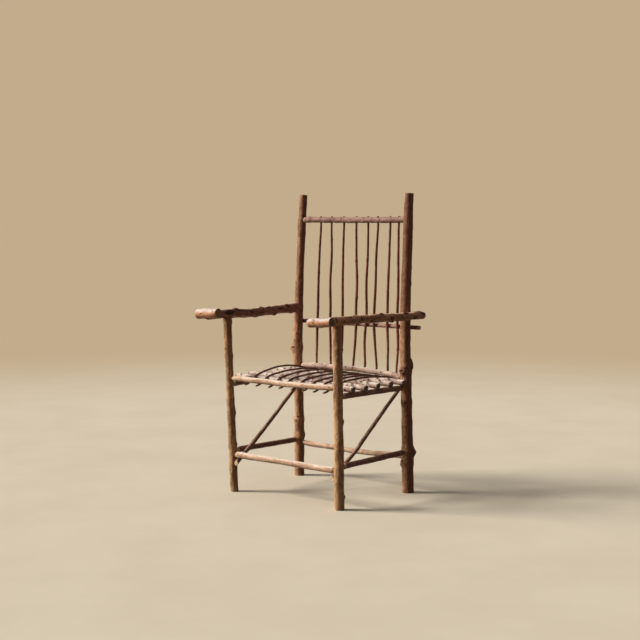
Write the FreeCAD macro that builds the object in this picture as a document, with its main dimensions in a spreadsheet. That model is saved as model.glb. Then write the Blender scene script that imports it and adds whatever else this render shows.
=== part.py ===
import FreeCAD, Part
import os
import re
import Sketcher

# Rustic twig armchair. Seen from the front, X runs to the right, Y to the back and Z up. The origin
# lies on the floor under the middle of the chair's box. All lengths are millimetres.

doc = FreeCAD.newDocument("TwigArmchair")

# The driving dimensions: alias, value and meaning.
SIZES = [
    ("FrontSpan", 502, "front post axes apart, at the floor"),
    ("BackSpan", 524, "back post axes apart, at the floor"),
    ("SeatDepth", 388, "front post axis to back post axis, at the floor"),
    ("SeatHeight", 423, "axis of the front seat rail above the floor"),
    ("StretcherHeight", 139.5, "axis of the front stretcher above the floor, at the left"),
    ("ArmRise", 238, "axis of the left arm above the front seat rail"),
    ("BackRise", 439, "sawn tops of the back posts above the left arm"),
    ("BendRise", 29, "bend in the back posts above the left arm"),
    ("BackRake", 28, "how far the back posts lean back above their bend"),
    ("LeftFrontSplay", 16, "how far the left front post leans out at the arm"),
    ("LeftFrontTilt", 14, "how far the left front post leans forward at the arm"),
    ("RightFrontLean", 4, "how far the right front post leans in at the arm"),
    ("RightFrontTilt", 10, "how far the right front post leans forward at the arm"),
    ("LeftBackLean", 2, "how far the left back post leans in at its top"),
    ("RightBackLean", 16, "how far the right back post leans in at its top"),
    ("LeftFrontRadius", 15.3, "left front post"),
    ("RightFrontRadius", 17, "right front post"),
    ("LeftBackRadius", 19.4, "left back post, at the floor"),
    ("RightBackRadius", 21.3, "right back post, at the floor"),
    ("FrontRailRadius", 10.3, "front seat rail"),
    ("SideRailRadius", 10.2, "side seat rails"),
    ("RearRailRadius", 10.5, "rear seat rail"),
    ("TopRailRadius", 11, "top rail"),
    ("MidRailRadius", 7.8, "middle back rail"),
    ("FrontStretcherRadius", 11.4, "front stretcher"),
    ("LeftStretcherRadius", 10.6, "left side stretcher"),
    ("RightStretcherRadius", 10.4, "right side stretcher"),
    ("RearStretcherRadius", 10, "rear stretcher"),
    ("SideRailDrop", 23, "left side rail below the front seat rail"),
    ("RightRailDrop", 5, "right side rail below the left one"),
    ("RightRailFall", 5, "fall of the right side rail to the back"),
    ("LeftRailBow", 6, "upward bow of the left side rail"),
    ("RearRailRise", 36, "rear seat rail above the side rails"),
    ("RearRailBow", 9, "upward bow of the rear seat rail"),
    ("FrontRailSag", 2, "sag of the front seat rail"),
    ("FrontStretcherFall", 3.5, "fall of the front stretcher to the right"),
    ("RearStretcherDrop", 7.5, "rear stretcher below the front one's left end"),
    ("RearStretcherSag", 5.5, "sag of the rear stretcher"),
    ("RightStretcherRise", 3, "rise of the right stretcher to the back"),
    ("TopRailDrop", 97, "top rail below the tops of the back posts"),
    ("MidRailDrop", 52, "middle back rail below the left arm"),
    ("MidRailLeftEnd", 10, "middle rail past the axis of the left back post"),
    ("MidRailRightEnd", 45, "middle rail past the axis of the right back post"),
    ("LeftArmRadius", 16.6, "left arm"),
    ("RightArmRadius", 16, "right arm"),
    ("LeftArmRise", 1, "rise of the left arm to the back"),
    ("LeftArmSag", 5.5, "sag of the left arm"),
    ("RightArmDrop", 5, "right arm below the left one"),
    ("RightArmFall", 2, "fall of the right arm to the back post"),
    ("RightArmTail", 62, "right arm past the axis of the back post"),
    ("LeftGripRadius", 17.9, "left hand grip"),
    ("RightGripRadius", 15.4, "right hand grip"),
    ("LeftGripLength", 102, "left hand grip"),
    ("RightGripLength", 98, "right hand grip"),
    ("LeftGripReach", 99, "left grip in front of its post"),
    ("RightGripReach", 89, "right grip in front of its post"),
    ("LeftGripLift", 5, "left grip axis above its arm axis"),
    ("RightGripLift", 0.5, "right grip axis above its arm axis"),
    ("GripTilt", 8.5, "rise of a grip to its right end"),
    ("LogRadius", 10.4, "seat logs"),
    ("LogOverhang", 21, "first seat log past the axes of the side rails"),
    ("FirstLogInset", 60, "first seat log behind the front posts"),
    ("LastLogGap", 3, "last seat log in front of the back posts"),
    ("RodRadius", 3.5, "seat rods"),
    ("RodTip", 31, "seat rods in front of the front rail"),
    ("RodTipDrop", 2.5, "fall of the rod tips"),
    ("RodTail", 26, "seat rods behind the rear rail"),
    ("RodTailDrop", 6, "fall of the rod tails"),
    ("RodRise", 15, "arch of the rods above the logs"),
    ("SpindleRadius", 4.4, "back spindles"),
    ("SpindleSeat", 3, "spindle ends below the axis of the rear seat rail"),
    ("SpindleProud", 6, "spindle tips above the top rail"),
    ("BraceRadius", 7.4, "diagonal braces, at the lower end"),
    ("BraceFoot", 111, "axis of the left brace above the floor at its cut end"),
    ("BraceToe", 4, "cut end of a brace in front of the front post axis"),
    ("BraceHeel", 14, "upper end of a brace behind the back post axis"),
    ("LeftBraceSag", 3, "sag of the left brace"),
    ("RightBraceSag", 10, "sag of the right brace"),
    ("BraceDrop", 35, "brace axis below the front seat rail at the back post"),
    ("TenonLength", 20, "tenons in the posts, from shoulder to tip"),
    ("ShoulderLength", 7, "whittled taper from a stick to its tenon"),
    ("ShoulderGap", 1, "shoulder stands off the bark by this much"),
    ("TenonClearance", 0.2, "tenon in its bored hole, all round"),
    ("BottomGap", 0.8, "end of a tenon to the bottom of its hole"),
    ("BearingGap", 0.3, "sticks that lie on each other"),
    ("MortiseWall", 1, "wood between two mortises that cross"),
    ("JointMargin", 2.5, "straight stretch of a stick past a joint"),
    ("PostTenonRadius", 7.5, "tenon on top of a front post"),
    ("PostTenonRise", 5, "post tenon above the axis of the arm"),
    ("Overrun", 40, "how far a cutting shape reaches past the stick"),
]

sheet = doc.addObject("Spreadsheet::Sheet", "Sizes")
for row, (alias, value, meaning) in enumerate(SIZES, 1):
    sheet.set("A%d" % row, meaning)
    sheet.set("B%d" % row, str(value))
    sheet.setAlias("B%d" % row, alias)
doc.recompute()

# Places that follow from the sizes are kept in a variable set, each with its own formula.
places = doc.addObject("App::VarSet", "Places")
OWNER = {alias: "Sizes" for alias, value, meaning in SIZES}
NAME = re.compile(r"\b[A-Z][A-Za-z0-9]+\b")


def bind(thing, where, formula):
    """Binds a property to a formula, with the owner put before each size or place in it."""
    owned = NAME.sub(lambda found: "%s.%s" % (OWNER[found.group()], found.group()), formula)
    thing.setExpression(where, owned)


def place(name, formula):
    """Adds one derived place."""
    places.addProperty("App::PropertyFloat", name)
    bind(places, name, formula)
    OWNER[name] = "Places"
    return name


def mix(start, end, share):
    """The formula of a value part of the way from one formula to another."""
    return "((%s) + ((%s) - (%s)) * %s)" % (start, end, start, share)


MIDDLE_SHARE = 0.5
# What is left of a stick's own radius at its tenons.
TENON_SHARE = 0.52
SPINDLE_TENON_SHARE = 0.76
ARM_TENON_SHARE = 0.5

place("ArmHeight", "SeatHeight + ArmRise")
place("BackHeight", "ArmHeight + BackRise")
place("BendHeight", "ArmHeight + BendRise")
place("TopRailHeight", "BackHeight - TopRailDrop")
place("MidRailHeight", "ArmHeight - MidRailDrop")
place("BraceTop", "SeatHeight - BraceDrop")
place("LeftBraceFoot", "BraceFoot")
place("RightBraceFoot", "BraceFoot - FrontStretcherFall")
place("LeftRailHeight", "SeatHeight - SideRailDrop")
place("RightRailHeight", "LeftRailHeight - RightRailDrop")
place("RightRailRear", "RightRailHeight - RightRailFall")
place("RearRailLeft", "LeftRailHeight + RearRailRise")
place("RearRailRight", "RightRailRear + RearRailRise")
place("FrontStretcherRight", "StretcherHeight - FrontStretcherFall")
place("RearStretcherHeight", "StretcherHeight - RearStretcherDrop")
# Where two stretchers meet in a post, the mortise of the side one passes just above the other's.
PASSING = "%s + MortiseWall + 2 * TenonClearance + (%s + %s) * %s"
place("LeftStretcherFront", PASSING % ("StretcherHeight", "FrontStretcherRadius",
                                       "LeftStretcherRadius", TENON_SHARE))
place("LeftStretcherRear", PASSING % ("RearStretcherHeight", "RearStretcherRadius",
                                      "LeftStretcherRadius", TENON_SHARE))
place("RightStretcherFront", PASSING % ("FrontStretcherRight", "FrontStretcherRadius",
                                        "RightStretcherRadius", TENON_SHARE))
place("RightStretcherRear", "RightStretcherFront + RightStretcherRise")
place("LeftArmRear", "ArmHeight + LeftArmRise")
place("RightArmHeight", "ArmHeight - RightArmDrop")
place("RightArmRear", "RightArmHeight - RightArmFall")
place("LeftGripAlong", "-SeatDepth / 2 - LeftFrontTilt - LeftGripReach")
place("RightGripAlong", "-SeatDepth / 2 - RightFrontTilt - RightGripReach")

# Every place below is measured from the middle of the four posts. The box of the whole chair is a
# little off that, because the grips reach forward and the right arm and the middle rail run on. The
# box's middle is bound at the end, when its outermost sticks have their places.
place("CentreAcross", "0")
place("CentreAlong", "0")

# For each heading of a stick: the origin plane of its sections, and the chair's axes that the
# plane's two directions and its normal follow. The normal of the XZ plane points forward.
PLANES = {
    "across": ("YZ_Plane", "yzx"),
    "along": ("XZ_Plane", "xzy"),
    "up": ("XY_Plane", "xyz"),
}
BACKWARD_PLANE = "XZ_Plane"
# The turns that lay an upright cylinder in each direction.
TURNS = {
    ("across", 1): FreeCAD.Rotation(FreeCAD.Vector(0, 1, 0), 90),
    ("across", -1): FreeCAD.Rotation(FreeCAD.Vector(0, 1, 0), -90),
    ("along", 1): FreeCAD.Rotation(FreeCAD.Vector(1, 0, 0), -90),
    ("along", -1): FreeCAD.Rotation(FreeCAD.Vector(1, 0, 0), 90),
    ("up", 1): FreeCAD.Rotation(),
}


def round_section(body, name, role, offsets, radius):
    """A circle on a plane square to the stick, moved by formulas."""
    sketch = body.newObject("Sketcher::SketchObject", name)
    plane = next(feature for feature in body.Origin.OriginFeatures if feature.Role == role)
    sketch.AttachmentSupport = [(plane, "")]
    sketch.MapMode = "FlatFace"
    for direction, offset in zip("xyz", offsets):
        bind(sketch, "AttachmentOffset.Base.%s" % direction, offset)
    circle = sketch.addGeometry(Part.Circle())
    sketch.addConstraint(Sketcher.Constraint("Coincident", circle, 3, -1, 1))
    sketch.renameConstraint(sketch.addConstraint(Sketcher.Constraint("Radius", circle, 1)), "Radius")
    bind(sketch, "Constraints.Radius", radius)
    return sketch


def loft(body, sections):
    """The ruled surface of a stick through all its sections."""
    feature = body.newObject("PartDesign::AdditiveLoft", body.Label + "_loft")
    feature.Profile = sections[0]
    feature.Sections = sections[1:]
    feature.Ruled = True


class Stick:
    """A twig in a body of its own, which stands at the twig's first section.

    Each station is the place of a section in the chair and its radius, as formulas.
    """

    def __init__(self, label, heading, stations):
        self.body = doc.addObject("PartDesign::Body", label)
        self.body.Label = label
        self.base = stations[0][:3]
        bind(self.body, "Placement.Base.x", "%s - CentreAcross" % self.base[0])
        bind(self.body, "Placement.Base.y", "%s - CentreAlong" % self.base[1])
        bind(self.body, "Placement.Base.z", self.base[2])
        role, order = PLANES[heading]
        sections = []
        for number, station in enumerate(stations):
            *spot, radius = station
            offsets = ["(%s) - (%s)" % (spot["xyz".index(axis)], self.base["xyz".index(axis)])
                       for axis in order]
            if role == BACKWARD_PLANE:
                offsets[-1] = "-1 * (%s)" % offsets[-1]
            sections.append(round_section(self.body, "%s_section_%d" % (label, number), role,
                                          offsets, radius))
        loft(self.body, sections)

    def add(self, kind, name, start, turn):
        """Adds a primitive that starts at a place in the chair."""
        feature = self.body.newObject(kind, "%s_%s" % (self.body.Label, name))
        feature.Placement.Rotation = turn
        for axis, here, base in zip("xyz", start, self.base):
            bind(feature, "Placement.Base.%s" % axis, "(%s) - (%s)" % (here, base))
        return feature

    def bore(self, name, start, heading, sign, radius, depth):
        """Drills a round hole from a place, along one of the chair's axes."""
        hole = self.add("PartDesign::SubtractiveCylinder", name, start, TURNS[heading, sign])
        bind(hole, "Radius", radius)
        bind(hole, "Height", depth)


# Posts. Each is one round pole, sawn off square at the floor. The tops of the back posts are sawn
# too. The tops of the front posts are cut to a saddle for the arm, round a tenon.

TURN_DEGREES = 360
STUB_ROOT_SHARE = 1.4
SADDLE_SHARE = 0.45


class Post(Stick):
    """An upright pole, straight and round wherever another stick joins it.

    Each level has the heights that its straight stretch runs between. Its shares are of the post's
    own radius: the radius there and how far the axis wanders across and along.
    """

    def __init__(self, label, prefix, across, along, radius, levels, shares):
        self.axis = {}
        self.radius = {}
        self.whole = radius
        stations = []
        for level, low, high in levels:
            share, wander_across, wander_along = shares[level]
            name = prefix + level.capitalize()
            middle = mix(low, high, MIDDLE_SHARE)
            if level == "knot":
                self.knot = middle
            place(name + "Across", "%s + %s * %s" % (across % middle, radius, wander_across))
            place(name + "Along", "%s + %s * %s" % (along % middle, radius, wander_along))
            place(name + "Radius", "%s * %s" % (radius, share))
            self.axis[level] = (name + "Across", name + "Along")
            self.radius[level] = name + "Radius"
            for height in dict.fromkeys((low, high)):
                stations.append((name + "Across", name + "Along", height, name + "Radius"))
        super().__init__(label, "up", stations)

    def stub(self, turn_share, radius_share, proud_share):
        """Adds the sawn stub of a side branch, turned round the post by a share of a full turn."""
        about_post = FreeCAD.Rotation(FreeCAD.Vector(0, 0, 1), TURN_DEGREES * turn_share)
        turn = about_post * TURNS["across", 1]
        cone = self.add("PartDesign::AdditiveCone", "stub", self.axis["knot"] + (self.knot,), turn)
        bind(cone, "Radius1", "%s * %s * %s" % (self.whole, radius_share, STUB_ROOT_SHARE))
        bind(cone, "Radius2", "%s * %s" % (self.whole, radius_share))
        bind(cone, "Height", "%s + %s * %s" % (self.radius["knot"], self.whole, proud_share))

    def saddle(self, height, arm_radius):
        """Cuts the top to fit under an arm and sets a round tenon on it, which enters the arm."""
        across, along = self.axis["top"]
        self.bore("saddle", (across, "%s - Overrun" % along, height), "along", 1,
                  "%s + BearingGap" % arm_radius, "2 * Overrun")
        tenon = self.add("PartDesign::AdditiveCylinder", "tenon",
                         (across, along, "%s - 2 * %s" % (height, arm_radius)), TURNS["up", 1])
        bind(tenon, "Radius", "PostTenonRadius")
        bind(tenon, "Height", "2 * %s + PostTenonRise" % arm_radius)


def about(height, reach):
    """The two heights of a straight stretch round a middle one."""
    return "%s - %s" % (height, reach), "%s + %s" % (height, reach)


def level_with(height):
    """A level without a straight stretch."""
    return height, height


def knot(low, high, height_share, radius):
    """The level of the swelling round a branch stub, part of the way between two others."""
    reach = "%s * %s" % (radius, KNOT_REACH_SHARE)
    return ("knot",) + about(mix(low, high, height_share), reach)


KNOT_REACH_SHARE = 0.42
STRETCHERS_LOW = "RightBraceFoot - 2 * BraceRadius"
STRETCHERS_HIGH = "LeftStretcherFront + RightStretcherRadius"
FRONT_SEAT_LOW = "RightRailHeight - SideRailRadius"
FRONT_SEAT_HIGH = "SeatHeight + FrontRailRadius"
BACK_SEAT_LOW = "BraceTop - 2 * BraceRadius"
BACK_SEAT_HIGH = "RearRailLeft + RearRailRadius"
LEFT_ARM_LOW = "ArmHeight - LeftArmRadius - JointMargin"
RIGHT_ARM_LOW = "RightArmHeight - RightArmRadius - JointMargin"

AT_FLOOR = ("floor",) + level_with("0")
AT_STRETCHERS = ("stretcher", STRETCHERS_LOW, STRETCHERS_HIGH)
AT_BACK_SHIN = ("shin",) + level_with(mix(STRETCHERS_HIGH, BACK_SEAT_LOW, MIDDLE_SHARE))
AT_FRONT_SEAT = ("seat", FRONT_SEAT_LOW, FRONT_SEAT_HIGH)
AT_BACK_SEAT = ("seat", BACK_SEAT_LOW, BACK_SEAT_HIGH)
AT_MID_RAIL = ("middle",) + level_with("MidRailHeight")
AT_ARM = ("arm", "RightArmRear - RightArmRadius", "BendHeight")
AT_BACK = ("back",) + level_with(mix("BendHeight", "TopRailHeight", MIDDLE_SHARE))
AT_CREST = ("crest",) + about("TopRailHeight", "TopRailRadius")
AT_TOP = ("top",) + level_with("BackHeight")

# For each post: how high its knot is, as a share of the way between two levels, and the shares of
# its radius at every level.
KNOT_SHARES = {"front_left": 0.58, "front_right": 0.64, "back_left": 0.31, "back_right": 0.21}
FRONT_LEFT_SHARES = {
    "floor": (1.0, 0.2, 0),
    "stretcher": (0.97, 0.08, 0),
    "knot": (0.93, 0.14, -0.08),
    "seat": (0.94, 0.05, 0),
    "elbow": (0.95, -0.08, 0.05),
    "top": (1.04, 0, 0),
}
FRONT_RIGHT_SHARES = {
    "floor": (1.08, -0.04, 0),
    "stretcher": (1.02, 0, 0),
    "knot": (0.94, -0.06, 0.06),
    "seat": (0.95, 0.03, 0),
    "elbow": (0.97, 0.1, 0),
    "top": (0.98, 0, 0),
}
BACK_LEFT_SHARES = {
    "floor": (1.0, 0, 0),
    "stretcher": (0.96, -0.04, 0),
    "shin": (0.92, -0.06, 0),
    "seat": (0.95, -0.3, 0),
    "knot": (0.95, -0.42, 0),
    "middle": (0.93, -0.3, 0),
    "arm": (0.82, -0.14, 0),
    "back": (0.74, -0.2, 0.03),
    "crest": (0.81, -0.2, 0),
    "top": (0.75, -0.06, 0),
}
BACK_RIGHT_SHARES = {
    "floor": (1.0, 0.03, 0),
    "stretcher": (0.99, 0, 0),
    "shin": (0.96, -0.04, 0),
    "seat": (0.94, -0.12, 0),
    "knot": (0.94, -0.24, 0),
    "middle": (0.92, -0.2, 0),
    "arm": (0.88, -0.13, 0),
    "back": (0.84, -0.14, 0),
    "crest": (0.81, -0.16, 0),
    "top": (0.77, -0.06, 0),
}
front_left = Post(
    "front_post_left", "LeftFront",
    "-FrontSpan / 2 - LeftFrontSplay * %s / ArmHeight",
    "-SeatDepth / 2 - LeftFrontTilt * %s / ArmHeight",
    "LeftFrontRadius",
    [AT_FLOOR, AT_STRETCHERS,
     knot(STRETCHERS_HIGH, FRONT_SEAT_LOW, KNOT_SHARES["front_left"], "LeftFrontRadius"),
     AT_FRONT_SEAT,
     ("elbow",) + level_with(mix(FRONT_SEAT_HIGH, LEFT_ARM_LOW, MIDDLE_SHARE)),
     ("top", LEFT_ARM_LOW, "ArmHeight - LeftArmRadius * %s" % SADDLE_SHARE)],
    FRONT_LEFT_SHARES)
front_right = Post(
    "front_post_right", "RightFront",
    "FrontSpan / 2 - RightFrontLean * %s / ArmHeight",
    "-SeatDepth / 2 - RightFrontTilt * %s / ArmHeight",
    "RightFrontRadius",
    [AT_FLOOR, AT_STRETCHERS,
     knot(STRETCHERS_HIGH, FRONT_SEAT_LOW, KNOT_SHARES["front_right"], "RightFrontRadius"),
     AT_FRONT_SEAT,
     ("elbow",) + level_with(mix(FRONT_SEAT_HIGH, RIGHT_ARM_LOW, MIDDLE_SHARE)),
     ("top", RIGHT_ARM_LOW, "RightArmHeight - RightArmRadius * %s" % SADDLE_SHARE)],
    FRONT_RIGHT_SHARES)
BACK_ALONG = "SeatDepth / 2 + BackRake * max(0; %s - BendHeight) / (BackHeight - BendHeight)"
back_left = Post(
    "back_post_left", "LeftBack", "LeftBackLean * %s / BackHeight - BackSpan / 2", BACK_ALONG,
    "LeftBackRadius",
    [AT_FLOOR, AT_STRETCHERS, AT_BACK_SHIN, AT_BACK_SEAT,
     knot(BACK_SEAT_HIGH, "MidRailHeight", KNOT_SHARES["back_left"], "LeftBackRadius"),
     AT_MID_RAIL, AT_ARM, AT_BACK, AT_CREST, AT_TOP],
    BACK_LEFT_SHARES)
back_right = Post(
    "back_post_right", "RightBack", "BackSpan / 2 - RightBackLean * %s / BackHeight", BACK_ALONG,
    "RightBackRadius",
    [AT_FLOOR, AT_STRETCHERS, AT_BACK_SHIN, AT_BACK_SEAT,
     knot(BACK_SEAT_HIGH, "MidRailHeight", KNOT_SHARES["back_right"], "RightBackRadius"),
     AT_MID_RAIL, AT_ARM, AT_BACK, AT_CREST, AT_TOP],
    BACK_RIGHT_SHARES)
sticks = [front_left, front_right, back_left, back_right]

# One sawn stub of a side branch stands on each post: its turn round the post as a share of a full
# turn, then its radius and how far it stands proud as shares of the post's radius.
STUB_SHARES = [
    (front_left, 0.083, 0.34, 0.26),
    (front_right, 0.097, 0.32, 0.22),
    (back_left, 0.6, 0.4, 0.42),
    (back_right, 0.111, 0.42, 0.36),
]
for post, turn_share, radius_share, proud_share in STUB_SHARES:
    post.stub(turn_share, radius_share, proud_share)
front_left.saddle("ArmHeight", "LeftArmRadius")
front_right.saddle("RightArmHeight", "RightArmRadius")

# Rails and stretchers. Both ends are whittled to round tenons, which sit in blind holes bored in
# the posts.


def tenoned(label, heading, near, near_height, far, far_height, radius, between=(), far_share=0.96):
    """Adds a stick between two posts, with the two mortises that hold it.

    near and far are a post and its level; between holds the stations from one to the other.
    """
    normal = "xyz".index(PLANES[heading][-1][-1])
    tenon = "%s * %s" % (radius, TENON_SHARE)
    ends = []
    for (post, level), height, sign in ((near, near_height, 1), (far, far_height, -1)):
        centre = post.axis[level] + (height,)
        shoulder = "%s + ShoulderGap" % post.radius[level]

        def outward(reach):
            spot = list(centre)
            spot[normal] = "%s + %d * (%s + %s)" % (centre[normal], sign, shoulder, reach)
            return tuple(spot)

        ends.append([outward("0 - TenonLength"), outward("0"), outward("ShoulderLength")])
        post.bore("mortise_for_" + label, outward("Overrun"), heading, -sign,
                  "%s + TenonClearance" % tenon, "Overrun + TenonLength + BottomGap")
    (near_tip, near_neck, near_end), (far_tip, far_neck, far_end) = ends
    stations = [near_tip + (tenon,), near_neck + (tenon,), near_end + (radius,)]
    stations += between
    stations += [far_end + ("%s * %s" % (radius, far_share),), far_neck + (tenon,),
                 far_tip + (tenon,)]
    stick = Stick(label, heading, stations)
    sticks.append(stick)
    return stick


def halfway(near, far, level):
    """The place halfway between the axes of two posts at a level, across and along."""
    return tuple(mix(a, b, MIDDLE_SHARE) for a, b in zip(near.axis[level], far.axis[level]))


FRONT_RAIL_SHARE = 0.97
tenoned("front_seat_rail", "across", (front_left, "seat"), "SeatHeight",
        (front_right, "seat"), "SeatHeight", "FrontRailRadius",
        [halfway(front_left, front_right, "seat")
         + ("SeatHeight - FrontRailSag", "FrontRailRadius * %s" % FRONT_RAIL_SHARE)])
top_rail = tenoned("top_rail", "across", (back_left, "crest"), "TopRailHeight",
                   (back_right, "crest"), "TopRailHeight", "TopRailRadius", far_share=1)
tenoned("front_stretcher", "across", (front_left, "stretcher"), "StretcherHeight",
        (front_right, "stretcher"), "FrontStretcherRight", "FrontStretcherRadius")
tenoned("rear_stretcher", "across", (back_left, "stretcher"), "RearStretcherHeight",
        (back_right, "stretcher"), "RearStretcherHeight", "RearStretcherRadius",
        [halfway(back_left, back_right, "stretcher")
         + ("RearStretcherHeight - RearStretcherSag", "RearStretcherRadius")], far_share=1)

# A side seat rail has its full radius from its start to its end. The left one bows upward between.
for prefix in ("Left", "Right"):
    place(prefix + "RailStart", "%sFrontSeatAlong + %sFrontSeatRadius + ShoulderGap + ShoulderLength"
          % (prefix, prefix))
    place(prefix + "RailEnd", "%sBackSeatAlong - %sBackSeatRadius - ShoulderGap - ShoulderLength"
          % (prefix, prefix))


def beside(prefix, along):
    """How far across a side seat rail's axis is at a place along, and the share of its way there."""
    share = "((%s - %sRailStart) / (%sRailEnd - %sRailStart))" % (along, prefix, prefix, prefix)
    return mix(prefix + "FrontSeatAcross", prefix + "BackSeatAcross", share), share


left_rail_middle = place("LeftRailMiddle", "(LeftRailStart + LeftRailEnd) / 2")
tenoned("side_seat_rail_left", "along", (front_left, "seat"), "LeftRailHeight",
        (back_left, "seat"), "LeftRailHeight", "SideRailRadius",
        [(beside("Left", left_rail_middle)[0], left_rail_middle, "LeftRailHeight + LeftRailBow",
          "SideRailRadius")], far_share=1)
tenoned("side_seat_rail_right", "along", (front_right, "seat"), "RightRailHeight",
        (back_right, "seat"), "RightRailRear", "SideRailRadius", far_share=1)
tenoned("side_stretcher_left", "along", (front_left, "stretcher"), "LeftStretcherFront",
        (back_left, "stretcher"), "LeftStretcherRear", "LeftStretcherRadius")
tenoned("side_stretcher_right", "along", (front_right, "stretcher"), "RightStretcherFront",
        (back_right, "stretcher"), "RightStretcherRear", "RightStretcherRadius")


# The rear seat rail bows upward and carries the spindles, so it is straight round each of their
# holes. Each row of a spindle: its place across at the seat, the middle rail and the top rail, as
# shares of the half span.
SPINDLE_SHARES = [
    (-0.66, -0.687, -0.642),
    (-0.39, -0.46, -0.435),
    (-0.2, -0.222, -0.21),
    (0.02, 0.034, 0.023),
    (0.233, 0.206, 0.233),
    (0.447, 0.36, 0.408),
    (0.65, 0.592, 0.626),
    (0.8, 0.775, 0.779),
]
place("SpindleHole", "SpindleRadius * %s + TenonClearance" % SPINDLE_TENON_SHARE)


def rear_rail_height(across):
    """The height of the bowed rail's axis at a place across."""
    share = "((%s + BackSpan / 2) / BackSpan)" % across
    level = mix("RearRailLeft", "RearRailRight", share)
    return "%s + 4 * RearRailBow * %s * (1 - %s)" % (level, share, share)


rear_stations = []
for number, (low_share, middle_share, top_share) in enumerate(SPINDLE_SHARES, 1):
    across = place("Spindle%dLow" % number, "BackSpan / 2 * %s" % low_share)
    height = place("Spindle%dRail" % number, rear_rail_height(across))
    for end in about(across, "(SpindleHole + JointMargin / 2)"):
        rear_stations.append((end, "SeatDepth / 2", height, "RearRailRadius"))
rear_rail = tenoned("rear_seat_rail", "across", (back_left, "seat"), "RearRailLeft",
                    (back_right, "seat"), "RearRailRight", "RearRailRadius", rear_stations)

# The middle back rail runs behind both back posts and sticks out past the right one.
place("MidRailLeftAlong", "LeftBackMiddleAlong + LeftBackMiddleRadius + MidRailRadius + BearingGap")
place("MidRailRightAlong",
      "RightBackMiddleAlong + RightBackMiddleRadius + MidRailRadius + BearingGap")
sticks.append(Stick("mid_back_rail", "across", [
    ("LeftBackMiddleAcross - MidRailLeftEnd", "MidRailLeftAlong", "MidRailHeight", "MidRailRadius"),
    ("LeftBackMiddleAcross", "MidRailLeftAlong", "MidRailHeight", "MidRailRadius"),
    ("RightBackMiddleAcross", "MidRailRightAlong", "MidRailHeight", "MidRailRadius"),
    ("RightBackMiddleAcross + MidRailRightEnd", "MidRailRightAlong", "MidRailHeight",
     "MidRailRadius"),
]))

# Arms and hand grips. An arm lies in the saddle of its front post with the post's tenon in it, and
# its front end is a tenon in the back of the grip. The left arm ends in a mortise in the back post.
# The right arm bears on the outside of the back post and runs on behind it.
GRIP_SOCKET_SHARE = 0.3
LEFT_ARM_SHARES = {"sag place": 0.38, "sag": 0.96, "rear": 1.05}
RIGHT_ARM_SHARES = {"beside": 0.86, "tail": 0.75}


def arm(label, post, height, radius, grip_along, grip_radius, rest):
    """Adds an arm; rest holds its stations behind the front post."""
    across, along = post.axis["top"]
    tenon = "%s * %s" % (radius, ARM_TENON_SHARE)
    neck = "%s + %s + ShoulderGap" % (grip_along, grip_radius)
    stations = [
        (across, "%s - %s * %s" % (grip_along, grip_radius, GRIP_SOCKET_SHARE), height, tenon),
        (across, neck, height, tenon),
        (across, "%s + ShoulderLength" % neck, height, radius),
        (across, "%s + %s + JointMargin" % (along, post.radius["top"]), height, radius),
    ]
    stick = Stick(label, "along", stations + rest)
    stick.bore("post_mortise", (across, along, "%s - Overrun" % height), "up", 1,
               "PostTenonRadius + TenonClearance", "Overrun + PostTenonRise + BottomGap")
    sticks.append(stick)


def hand_grip(label, prefix, post, arm_height, arm_radius):
    """Adds a grip, which lies across the front end of an arm and rises to its right end."""
    across = post.axis["top"][0]
    along = prefix + "GripAlong"
    radius = prefix + "GripRadius"
    height = "%s + %sGripLift" % (arm_height, prefix)
    bore_radius = "%s * %s + TenonClearance" % (arm_radius, ARM_TENON_SHARE)
    half = "%sGripLength / 2" % prefix
    flat = "(%s + JointMargin)" % bore_radius
    grip = Stick(label, "across", [
        ("%s - %s" % (across, half), along, "%s - GripTilt / 2" % height, radius),
        ("%s - %s" % (across, flat), along, height, radius),
        ("%s + %s" % (across, flat), along, height, radius),
        ("%s + %s" % (across, half), along, "%s + GripTilt / 2" % height, radius),
    ])
    grip.bore("arm_mortise", (across, "%s + Overrun" % along, arm_height), "along", -1,
              bore_radius, "Overrun + %s * %s + BottomGap" % (radius, GRIP_SOCKET_SHARE))
    sticks.append(grip)


place("LeftArmNeck", "LeftBackArmAlong - LeftBackArmRadius - ShoulderGap")
sag_place = LEFT_ARM_SHARES["sag place"]
arm("arm_left", front_left, "ArmHeight", "LeftArmRadius", "LeftGripAlong", "LeftGripRadius", [
    (mix("LeftFrontTopAcross", "LeftBackArmAcross", sag_place),
     mix("LeftFrontTopAlong", "LeftArmNeck", sag_place),
     mix("ArmHeight", "LeftArmRear", sag_place) + " - LeftArmSag",
     "LeftArmRadius * %s" % LEFT_ARM_SHARES["sag"]),
    ("LeftBackArmAcross", "LeftArmNeck - ShoulderLength", "LeftArmRear",
     "LeftArmRadius * %s" % LEFT_ARM_SHARES["rear"]),
    ("LeftBackArmAcross", "LeftArmNeck", "LeftArmRear", "LeftArmRadius * %s" % ARM_TENON_SHARE),
    ("LeftBackArmAcross", "LeftArmNeck + TenonLength", "LeftArmRear",
     "LeftArmRadius * %s" % ARM_TENON_SHARE),
])
back_left.bore("mortise_for_arm", ("LeftBackArmAcross", "LeftArmNeck - Overrun", "LeftArmRear"),
               "along", 1, "LeftArmRadius * %s + TenonClearance" % ARM_TENON_SHARE,
               "Overrun + TenonLength + BottomGap")
place("RightArmBeside", "RightBackArmAcross + RightBackArmRadius + BearingGap"
      " + RightArmRadius * %s" % RIGHT_ARM_SHARES["beside"])
place("RightArmTailAcross", "RightArmBeside + JointMargin")
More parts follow.
